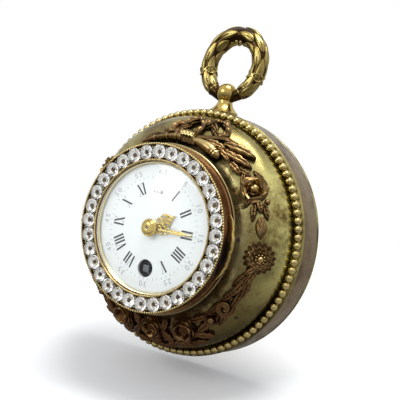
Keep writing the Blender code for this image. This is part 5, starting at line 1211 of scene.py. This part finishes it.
def numeral_strokes(text, height):
    """Gives a Roman numeral's strokes as four-cornered shapes, centred, in millimetres."""
    shapes = []
    widths = {"I": 0.98, "V": 1.75, "X": 1.85}
    left = -sum(widths[letter] for letter in text) / 2
    thick, thin, serif = 0.55, 0.085, 0.1
    half = height / 2
    for letter in text:
        width = widths[letter]
        middle = left + width / 2
        if letter == "I":
            strokes = [((middle, -half), (middle, half), thick)]
            feet = [(middle, -half, 0.36), (middle, half, 0.36)]
        elif letter == "V":
            strokes = [((middle - 0.62, half), (middle + 0.05, -half), thick),
                       ((middle + 0.62, half), (middle + 0.05, -half), thin)]
            feet = [(middle - 0.62, half, 0.36), (middle + 0.62, half, 0.26)]
        else:
            strokes = [((middle - 0.62, half), (middle + 0.62, -half), thick),
                       ((middle + 0.62, half), (middle - 0.62, -half), thin)]
            feet = [(middle + x, z, 0.3) for x in (-0.62, 0.62) for z in (-half, half)]
        for (x1, z1), (x2, z2), wide in strokes:
            side = wide / 2
            shapes.append([(x1 - side, z1), (x1 + side, z1), (x2 + side, z2), (x2 - side, z2)])
        for x, z, reach in feet:
            shapes.append([(x + side * reach, z + rise * serif / 2)
                           for side, rise in ((-1, -1), (1, -1), (1, 1), (-1, 1))])
        left += width
    return shapes


def print_on_dial(mesh, shapes, clock_degrees, radius):
    """Lays flat shapes on the dial, their tops outwards, as thin raised ink."""
    angle = math.radians(clock_degrees)
    out = Vector((math.sin(angle), math.cos(angle)))
    across = Vector((math.cos(angle), -math.sin(angle)))
    for shape in shapes:
        rows = []
        for lift in (-0.05, 0.035):
            row = []
            for x, z in shape:
                spot = out * (radius + z) + across * x
                forward = dial_forward(spot.length) + lift
                row.append(mesh.verts.new((spot.x * MM, -forward * MM, spot.y * MM)))
            mesh.faces.new(row)
            rows.append(row)
        walled(mesh, rows, True)


def digit_shapes(text, height):
    """Gives the triangles of a number in Blender's own font, centred, in millimetres."""
    words = bpy.data.curves.new("digits", "FONT")
    words.body = text
    words.align_x = "CENTER"
    words.align_y = "CENTER"
    words.size = height * 1.4
    words.space_character = 1.35
    holder = bpy.data.objects.new("digits", words)
    bpy.context.scene.collection.objects.link(holder)
    data = bpy.data.meshes.new_from_object(holder.evaluated_get(bpy.context.evaluated_depsgraph_get()))
    bpy.data.objects.remove(holder)
    bpy.data.curves.remove(words)
    data.calc_loop_triangles()
    corners = [(corner.co.x, corner.co.y) for corner in data.vertices]
    shapes = [[corners[k] for k in face.vertices] for face in data.loop_triangles]
    bpy.data.meshes.remove(data)
    return shapes


class CLOCK_OT_dial(bpy.types.Operator):
    """Makes the enamel dial with its holes, hour numerals, minute track and five-minute numbers."""
    bl_idname = "clock.make_dial"
    bl_label = "Dial"

    def execute(self, context):
        settings = context.scene.clock_dial
        piece("enamel_dial", self.plate(context), enamel_finish(context), "case", "enamel", "dial")

        # The XII is worn down to a few marks, and the winding hole takes the place of the VI
        black = bmesh.new()
        height = settings.hour_height / MM
        hours = (None, "I", "II", "III", "IIII", "V", None, "VII", "VIII", "IX", "X", "XI")
        for number, text in enumerate(hours):
            if text:
                print_on_dial(black, numeral_strokes(text, height), 30 * number, NUMERAL_CIRCLE)
        worn_marks = ((-1.75, 0.2, 0.28), (-1.1, 0.0, 0.2), (-0.55, 0.25, 0.26), (0.1, 0.05, 0.2),
                      (0.75, 0.35, 0.62), (1.25, 0.25, 0.5))
        shapes = [[(x, z - tall), (x + 0.34, z - tall), (x + 0.2, z + tall), (x - 0.05, z + tall)]
                  for x, z, tall in worn_marks]
        print_on_dial(black, shapes, 0, WORN_NUMERAL_CIRCLE)
        bmesh.ops.recalc_face_normals(black, faces=black.faces)
        piece("hour_numerals", black, ink_finish("black_ink", tuple(settings.ink)), "case", "enamel")

        grey = bmesh.new()
        for number in range(12):
            text = str(60 if number == 0 else 5 * number)
            print_on_dial(grey, digit_shapes(text, 1.75), 30 * number, FIVE_MINUTE_CIRCLE)
        bmesh.ops.recalc_face_normals(grey, faces=grey.faces)
        faint = ink_finish("faint_ink", tuple(settings.faint_ink))
        mark = bmesh.new()
        bmesh.ops.create_cube(mark, size=1.0, matrix=Matrix.Diagonal((0.75 * MM, 0.1 * MM, 0.13 * MM, 1)))
        forward = dial_forward(TRACK_CIRCLE) - 0.01
        marks = mesh_of(round_copies(data_from(mark, "mark", 0), 60, TRACK_CIRCLE, forward, faint))
        piece("minute_track", gathered([grey, marks]), faint, "case", "enamel")
        return {"FINISHED"}

    def plate(self, context):
        """Turns the domed plate and cuts the winding hole in it."""
        radii = [1.8 + (DIAL_RADIUS - 2.0) * k / 30 for k in range(31)]
        outline = [(radius, dial_forward(radius)) for radius in radii]
        outline += arc_points((DIAL_RADIUS - 0.2, dial_forward(DIAL_RADIUS) - 0.3), 0.2, 80, -80, 4)
        outline += [(radius, dial_forward(radius) - 0.9) for radius in radii[::-6]]
        plate = bpy.data.objects.new("dial_plate", data_from(lathe(outline), "dial_plate", 40))
        hole = lathe([(0, 30), (WINDING_HOLE_RADIUS, 30), (WINDING_HOLE_RADIUS, 40), (0, 40)], 40)
        hole = data_from(moved(hole, 0, 0, BARREL_HEIGHT), "winding_hole")
        cutter = bpy.data.objects.new("winding_hole", hole)
        for thing in (plate, cutter):
            context.scene.collection.objects.link(thing)
        change = plate.modifiers.new("hole", "BOOLEAN")
        change.object = cutter
        change.operation = "DIFFERENCE"
        change.solver = "EXACT"
        context.view_layer.update()
        data = bpy.data.meshes.new_from_object(plate.evaluated_get(context.evaluated_depsgraph_get()))
        for thing in (plate, cutter):
            bpy.data.objects.remove(thing)
        data.shade_smooth()
        data.set_sharp_from_angle(angle=math.radians(40))
        return data


def hand_frame(clock_degrees, forward):
    """Gives the matrix that turns a hand drawn upwards to its place on the dial."""
    return Matrix.Translation((0, -forward * MM, 0)) @ Matrix.Rotation(math.radians(clock_degrees), 4, "Y")


def wire(points, thick, closed=False):
    """Bends a flat wire through (x, z) points in millimetres."""
    return tube([Vector((x, 0, z)) * MM for x, z in points], thick / 2 * MM, 8, closed, flat=0.55)


def oval(x, z, wide, tall, thick, count=14):
    """Bends a flat wire to an oval about a point, in millimetres."""
    angles = [FULL_TURN * k / count for k in range(count)]
    return wire([(x + wide * math.sin(angle), z - tall * math.cos(angle)) for angle in angles], thick, True)


class CLOCK_OT_hands(bpy.types.Operator):
    """Saws the pierced gilt hands and turns the collet that holds them."""
    bl_idname = "clock.make_hands"
    bl_label = "Hands"

    def execute(self, context):
        gilt = ring_finish(context)
        hour = [oval(0, 0, 2.15, 2.15, 0.75, 24), wire([(0, 2.1), (0, 9.2)], 0.5)]
        for side in (1, -1):
            curve = [(side * 0.2, 4.4), (side * 1.95, 4.9), (side * 2.05, 6.0), (side * 1.1, 7.3), (0, 8.6)]
            hour += [oval(side * 0.95, 3.7, 0.66, 0.8, 0.52), oval(side * 1.25, 5.35, 0.68, 0.85, 0.54),
                     oval(side * 0.75, 6.85, 0.46, 0.6, 0.46), wire(curve, 0.4)]
        hour += [oval(0, 7.9, 0.35, 0.5, 0.44), wire([(0, 8.3), (0, 9.45)], 0.36)]
        mesh = placed(gathered(hour), hand_frame(HOUR_HAND_ANGLE, HOUR_HAND_FORWARD))
        piece("hour_hand_gilt", mesh, gilt, "hour", "bright_gilt", "hour_hand", smooth=60)

        minute = [oval(0, 0, 1.6, 1.6, 0.8, 20), wire([(0, 1.5), (0, 15.0)], 0.46)]
        for side in (1, -1):
            curve = [(side * 0.1, 7.2), (side * 0.55, 8.4), (side * 0.32, 9.8), (side * 0.5, 11.0), (0, 13.4)]
            minute += [oval(side * 0.6, 3.0, 0.5, 0.7, 0.46), oval(side * 0.72, 4.6, 0.55, 0.8, 0.46),
                       oval(side * 0.5, 6.3, 0.42, 0.7, 0.42), wire(curve, 0.38)]
        minute += [oval(0, 11.4, 0.42, 0.7, 0.3), wire([(0, 13.0), (0, 15.3)], 0.32)]
        mesh = placed(gathered(minute), hand_frame(MINUTE_HAND_ANGLE, MINUTE_HAND_FORWARD))
        piece("minute_hand_gilt", mesh, gilt, "minute", "bright_gilt", "minute_hand", smooth=60)

        collet = [(0.55, 37.6), (2.6, 37.6), (2.75, 37.78), (2.6, 38.0), (2.25, 38.02)]
        collet += curve_points(((2.15, 38.12), (1.95, 38.6), (1.4, 38.85), (0.8, 38.9)), 6) + [(0.55, 38.8)]
        piece("collet_gilt", lathe(collet, 48), gilt, "minute", "bright_gilt", "hand_collet")
        return {"FINISHED"}


class CLOCK_OT_mounts(bpy.types.Operator):
    """Casts the ribbon trophy, the rose drops, the round flowers and the garland on the dome."""
    bl_idname = "clock.make_mounts"
    bl_label = "Gilt mounts"

    def execute(self, context):
        finish = mount_finish(context)
        self.cast("trophy_mount", self.trophy(), finish, "ribbon_trophy")
        self.cast("rose_drop_mount_right", self.drop(), finish, "rose_drop_right")
        hidden = gathered(self.drop(3.0, 1.5, False))
        self.cast("rose_drop_mount_left", [mirrored(hidden)], finish, "rose_drop_left")
        hidden.free()
        flat = Matrix.Diagonal((1, 1, 0.3, 1))
        holes = [laid(placed(ball(radius, 6, 14), flat), clock, arc, 0, 0.05)
                 for radius, clock, arc in ((0.85, 86.5, -4.2), (0.6, 129.5, 7.3))]
        black = plain_metal("hole_black", (0.035, 0.025, 0.018), 0.6, metallic=0.3)
        piece("stopped_holes", gathered(holes), black, "case", "aged_brass")
        flower = laid(daisy(5.1, 2.3), 95, 3.9, 12, 0.15)
        self.cast("daisy_mount_left", [mirrored(flower)], finish, "daisy_left")
        self.cast("daisy_mount_right", [flower], finish, "daisy_right")
        right = gathered(self.swag())
        middle = [laid(hollow_rose(3.9, 2.3), 180, 2.1, 0, 0.2), laid(leaf(5.6, 2.8, 1.3), 180, 7.0, 4, 0.2),
                  laid(leaf(4.6, 2.4, 1.2), 177, 9.3, 160, 0.1)]
        self.cast("garland_mount", [right.copy(), mirrored(right)] + middle, finish, "garland")
        right.free()
        return {"FINISHED"}

    def cast(self, name, meshes, finish, node_name):
        """Puts a mount's elements together in one piece."""
        data = data_from(gathered(meshes), name, 50)
        mark_lift(data, heights_on_dome(data))
        piece(name, data, finish, "case", "gilt_bronze", node_name)

    def leaves(self, places):
        """Lays leaves, each (clock degrees, arc, heading, length, width, lift), on the dome."""
        return [laid(leaf(length * 1.04, width * 1.14, 0.5 + width * 0.3, lobes=4), clock, arc, heading, lift)
                for clock, arc, heading, length, width, lift in places]

    def trophy(self):
        """Models the bow, the quiver that lies through it and its leaves."""
        quiver = ((-31, 0.9, 0.9), (-20, 0.5, 1.0), (-10, 0.1, 1.2), (-3, -0.2, 1.4), (4.5, -0.8, 1.7),
                  (11.5, -1.1, 1.8), (20, -1.6, 1.9), (26, -2.3, 1.8), (30.5, -3.0, 1.5))
        points, ups = on_dome_path(quiver, 60)
        shape = ((0, 0.5), (0.2, 0.75), (0.38, 1.15), (0.46, 1.3), (0.52, 1.0), (0.62, 1.15), (0.72, 1.7),
                 (0.8, 1.85), (0.86, 1.4), (0.9, 1.55), (0.96, 1.0), (1.0, 0.25))
        radii = [float(radius) for radius in np.interp([k / 60 for k in range(61)], *zip(*shape))]
        meshes = [tube(points, [radius * MM for radius in radii], 14, flat=0.9, up=ups)]
        for k in (6, 13, 20, 24, 51, 54):
            meshes.append(tube(points[k:k + 2], (radii[k] + 0.28) * MM, 14, flat=0.9, up=ups[k:k + 2]))
        for shift in (-3.6, -1.4, 0.8, 3.0):
            fold = ((3.0, 2.3, 0.4), (3.6, 1.4, 2.6), (4.6, -0.6, 3.5), (5.6, -2.4, 2.7), (6.2, -3.4, 0.9))
            meshes.append(ribbon([(clock + shift, arc, lift) for clock, arc, lift in fold], 16, 1.5, False))
        bow = ((3, 0.6, 1.1), (-3, 1.8, 1.1), (-8.5, 3.1, 0.9), (-7.6, 4.8, 1.3), (-3, 5.6, 1.1),
               (2.5, 8.1, 1.2), (5.2, 7.2, 1.3), (8, 6.4, 0.9), (10.5, 8.4, 1.0), (13.5, 9.9, 0.7),
               (18, 9.2, 1.3), (21.5, 6.9, 0.8), (20.4, 4.9, 1.2), (17.5, 4.6, 0.9))
        under = [(clock + 0.9, arc - 0.75, lift - 0.5) for clock, arc, lift in bow]
        tie = ((6, 0, 1.6), (6.6, 2.5, 1.4), (7.6, 4.9, 1.2), (7.2, 6.6, 1.7))
        tail = ((0, 0.9, 1.2), (-5, 1.6, 1.1), (-10, 2.3, 1.3), (-13.5, 2.0, 0.9), (-17, 2.7, 0.7))
        branch = ((8, 0.3, 1.6), (12, 1.4, 1.4), (15.5, 2.2, 1.2), (23.5, 4.6, 1.2), (28, 5.4, 1.1))
        ribbons = ((bow, 96, 1.8, 0.45), (under, 96, 1.5, 0.5), (tie, 20, 1.6, 0.4), (tail, 28, 1.6, 0.4),
                   (branch, 24, 1.3, 0.0))
        meshes += [ribbon(places, count, width, crumple=crumple) for places, count, width, crumple in ribbons]
        return meshes + self.leaves((
            (28.0, 5.3, 14, 6.6, 1.9, 0.7), (34.5, 5.3, 22, 10.4, 3.6, 0.9), (38.5, 3.1, 20, 9.4, 3.3, 0.7),
            (28.0, 0.6, -2, 9.0, 2.9, 0.8), (22.5, 1.5, 8, 7.4, 2.6, 1.2), (41.5, 0.7, 4, 5.6, 2.8, 0.5),
            (33.5, 2.0, 10, 7.0, 2.6, 0.9), (46.5, 2.4, 28, 4.6, 2.4, 0.3), (-14, 0.9, 170, 6.0, 2.4, 0.3),
            (-24, 1.9, 186, 5.6, 2.2, 0.2), (-3.5, 3.7, 20, 5.4, 2.9, 0.0), (12.5, 6.9, -30, 5.4, 3.0, 0.0),
            (15.5, 5.0, 160, 5.0, 2.6, 0.1)))

    def drop(self, down=0.0, inward=0.0, crowned=True):
        """Models one drop: a rose crowned with leaves, leaves that point down and a hanging bud."""
        meshes = [laid(rose(4.4, 2.7), 57.3 + down, 2.9 - inward, 35, 0.2),
                  laid(bud(6.6, 3.5, 1.6), 79.2 + down, 3.1 - inward, 0, 0.3)]
        leaves = [(70.2, 1.1, -14, 5.6, 2.6, 0.5), (70.6, 4.8, 6, 5.2, 2.5, 0.4),
                  (67.5, 3.2, 0, 4.2, 2.4, 0.9), (64, -0.4, -40, 3.6, 2.2, 0.2)]
        if crowned:
            leaves += [(49.5, 1.0, 150, 4.6, 2.4, 0.3), (51, 5.6, 200, 4.4, 2.3, 0.3)]
        meshes += self.leaves([(clock + down, arc - inward, *rest) for clock, arc, *rest in leaves])
        return meshes + [laid(ball(0.95, 6, 10), 65.5 + down, 5.7 - inward, 0, 0.5),
                         laid(ball(0.75, 6, 10), 75.0 + down, 3.1 - inward, 0, 1.0)]

    def swag(self):
        """Models the right half of the garland: leaves, a scroll, a berry and a hollow rose."""
        meshes = self.leaves((
            (103.2, 2.2, -40, 3.8, 2.3, 0.9), (107, 3, -14, 6.2, 2.9, 0.5), (109.5, 0.9, -24, 6.4, 2.8, 0.3),
            (113.5, 3.6, 6, 6.4, 2.9, 0.4), (116, 1.3, -14, 6.8, 3.0, 0.7), (121, 3.2, 4, 6.2, 2.9, 0.5),
            (122.5, 0.5, -12, 5.6, 2.6, 0.4), (133.5, 0.4, 2, 5.4, 2.6, 0.3), (134, 4.4, 20, 5.6, 2.7, 0.3),
            (145.5, 0.6, 172, 6.0, 3.0, 0.4), (145.5, 3.4, 12, 6.6, 3.4, 0.6), (149, 6.0, 150, 6.4, 3.2, 0.4),
            (154, 8.2, 170, 6.0, 2.7, 0.2), (163, 8.0, -24, 6.6, 2.8, 0.3), (170, 0.6, 64, 5.2, 3.0, 0.5),
            (170, 4.6, -62, 5.6, 3.1, 0.5), (171.5, 8.6, 12, 6.0, 2.7, 0.2), (165, 5.4, 100, 4.4, 2.4, 0.3)))
        curl = ((123.5, 3.6, 1.0), (127.5, 4.5, 1.3), (132.2, 3.4, 1.4), (131.6, 1.2, 1.5), (128.2, 0.6, 1.6),
                (126.2, 1.8, 1.8), (127.8, 2.8, 1.9), (129.6, 2.2, 2.0))
        return meshes + [ribbon(curl, 48, 1.5), laid(rose(2.5, 1.7), 139.2, 2.4, 10, 0.3),
                         laid(ball(1.05, 8, 12), 139.2, 2.4, 0, 1.9),
                         laid(hollow_rose(4.2, 2.5), 158.5, 2.7, 20, 0.2)]


class CLOCK_OT_works(bpy.types.Operator):
    """Finishes the movement, the hinge and the screws that the solids already shape."""
    bl_idname = "clock.finish_works"
    bl_label = "Works"

    def execute(self, context):
        finishes = {"movement_brass": plain_metal("works_brass", (0.72, 0.53, 0.24), 0.24),
                    "steel": plain_metal("works_steel", (0.36, 0.37, 0.39), 0.28),
                    "aged_brass": bead_finish(context), "red_brass": band_finish(context),
                    "bright_gilt": ring_finish(context), "gilt_bronze": mount_finish(context)}
        square = plain_metal("dark_steel", (0.16, 0.165, 0.18), 0.3)
        slots = {part["node"]: part["material_slot"] for part in frame["record"]["subparts"]}
        for name, solid in frame["nodes"].items():
            finish = square if name == "winding_arbor" else finishes.get(slots.get(name))
            if finish:
                solid.data.materials.clear()
                solid.data.materials.append(finish)
        return {"FINISHED"}


class CLOCK_OT_stage(bpy.types.Operator):
    """Sets the camera, the soft studio light and the pale floor."""
    bl_idname = "clock.set_stage"
    bl_label = "Stage"

    def execute(self, context):
        scene = context.scene
        settings = scene.clock_stage
        scene.view_settings.view_transform = "Standard"
        azimuth, elevation, roll = (math.radians(part) for part in CAMERA_ANGLES)
        target = Vector(CAMERA_TARGET) * MM
        back = Vector((math.sin(azimuth) * math.cos(elevation), -math.cos(azimuth) * math.cos(elevation),
                       math.sin(elevation)))
        level = Vector((0, 0, 1)).cross(back).normalized()
        upright = back.cross(level)
        right = level * math.cos(roll) + upright * math.sin(roll)
        up = upright * math.cos(roll) - level * math.sin(roll)
        lens = bpy.data.cameras.new("camera")
        lens.lens = 90
        lens.sensor_width = 36
        lens.clip_start = 0.01
        camera = bpy.data.objects.new("camera", lens)
        scene.collection.objects.link(camera)
        camera.matrix_world = Matrix((right, up, back)).transposed().to_4x4()
        camera.location = target + back * (CAMERA_DISTANCE * MM)
        scene.camera = camera

        self.lamp("key", settings.key_power, 0.26, target + (up * 0.53 + right * 0.14 + back * 0.12), target)
        self.lamp("fill", settings.fill_power, 0.22, target + (up * 0.3 - right * 0.42 + back * 0.32), target)
        tilt = settings.floor_tilt
        self.floor(Vector((0, -math.sin(tilt), math.cos(tilt))), FLOOR_DEPTH * MM)
        self.sky(scene)
        return {"FINISHED"}

    def lamp(self, name, power, size, place, target):
        """Hangs a soft square lamp that faces the clock."""
        light = bpy.data.lights.new(name, "AREA")
        light.energy = power
        light.size = size
        made = bpy.data.objects.new(name, light)
        made.location = place
        made.rotation_euler = (place - target).to_track_quat("Z", "Y").to_euler()
        bpy.context.scene.collection.objects.link(made)

    def floor(self, up, depth):
        """Lays the pale floor under the clock; it can't be seen from below."""
        mesh = bmesh.new()
        bmesh.ops.create_grid(mesh, x_segments=1, y_segments=1, size=0.13)
        turn = up.to_track_quat("Z", "Y").to_matrix().to_4x4()
        turn.translation = up * -depth
        data = data_from(placed(mesh, turn), "floor", 0)
        material, tree, shader = begun("pale_floor")
        path = node(tree, "ShaderNodeLightPath")
        # To mirrored rays the floor is a darker grey: painted shade in its reflection on the metal
        colour = mixed(Value(path.outputs["Is Glossy Ray"]), (0.93, 0.93, 0.93), (0.4, 0.38, 0.36))
        fed(shader, Roughness=0.9, Base_Color=colour)
        plain = shader.outputs["BSDF"]
        light = node(tree, "ShaderNodeEmission", Color=(1, 1, 1, 1), Strength=0.10)
        lit = node(tree, "ShaderNodeAddShader", n0=plain, n1=light.outputs["Emission"]).outputs["Shader"]
        clear = node(tree, "ShaderNodeBsdfTransparent").outputs["BSDF"]
        below = node(tree, "ShaderNodeNewGeometry").outputs["Backfacing"]
        seen = either(tree, path.outputs["Is Camera Ray"], plain, lit)
        fed(tree.nodes["Material Output"], Surface=either(tree, below, seen, clear))
        data.materials.append(material)
        made = bpy.data.objects.new("floor", data)
        bpy.context.scene.collection.objects.link(made)

    def sky(self, scene):
        """Makes the world white where it is seen, paler upwards where it is mirrored, and a plain
        soft light elsewhere."""
        world = bpy.data.worlds.new("studio")
        world.use_nodes = True
        scene.world = world
        tree = world.node_tree
        path = node(tree, "ShaderNodeLightPath")
        direction = node(tree, "ShaderNodeTexCoord").outputs["Generated"]
        place = node(tree, "ShaderNodeSeparateXYZ", Vector=direction)
        shade = ranged(Value(place.outputs["Z"]), -0.7, 0.85, 0.16, 1.0)
        soft = fed(tree.nodes["Background"], Color=(0.93, 0.96, 1.0, 1), Strength=0.62)
        mirror = node(tree, "ShaderNodeBackground", Color=(1, 1, 1, 1), Strength=shade)
        white = node(tree, "ShaderNodeBackground", Color=(1, 1, 1, 1), Strength=1.0)
        soft, mirror, white = (light.outputs["Background"] for light in (soft, mirror, white))
        straight = Value(path.outputs["Is Camera Ray"])
        seen = worked_out("MAXIMUM", straight, path.outputs["Is Transmission Ray"])
        unseen = either(tree, path.outputs["Is Glossy Ray"], soft, mirror)
        fed(tree.nodes["World Output"], Surface=either(tree, seen, unseen, white))


class CLOCK_PT_panel(bpy.types.Panel):
    """Lists the steps that dress the clock, and their settings."""
    bl_idname = "CLOCK_PT_panel"
    bl_label = "Boudoir clock"
    bl_space_type = "VIEW_3D"
    bl_region_type = "UI"
    bl_category = "Clock"

    def draw(self, context):
        for step in STEPS:
            self.layout.operator(step.bl_idname)
        for group, kind in SETTINGS:
            box = self.layout.box()
            for name in kind.__annotations__:
                box.prop(getattr(context.scene, group), name)


STEPS = (CLOCK_OT_stage, CLOCK_OT_works, CLOCK_OT_case, CLOCK_OT_beads, CLOCK_OT_pendant, CLOCK_OT_ring,
         CLOCK_OT_bezel, CLOCK_OT_stones, CLOCK_OT_glass, CLOCK_OT_dial, CLOCK_OT_hands, CLOCK_OT_mounts)
SETTINGS = (("clock_case", ClockCaseSettings), ("clock_bezel", ClockBezelSettings),
            ("clock_dial", ClockDialSettings), ("clock_mounts", ClockMountSettings),
            ("clock_stage", ClockStageSettings))


def register():
    """Registers the settings, the operators and the panel."""
    for name, kind in SETTINGS:
        bpy.utils.register_class(kind)
        setattr(bpy.types.Scene, name, PointerProperty(type=kind))
    for kind in (*STEPS, CLOCK_PT_panel):
        bpy.utils.register_class(kind)


def unregister():
    """Takes back what register added."""
    for kind in (CLOCK_PT_panel, *reversed(STEPS)):
        bpy.utils.unregister_class(kind)
    for name, kind in reversed(SETTINGS):
        delattr(bpy.types.Scene, name)
        bpy.utils.unregister_class(kind)


def main():
    """Registers the add-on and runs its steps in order."""
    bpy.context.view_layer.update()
    register()
    for step in STEPS:
        group, name = step.bl_idname.split(".")
        getattr(getattr(bpy.ops, group), name)()


if __name__ == "__main__":
    main()
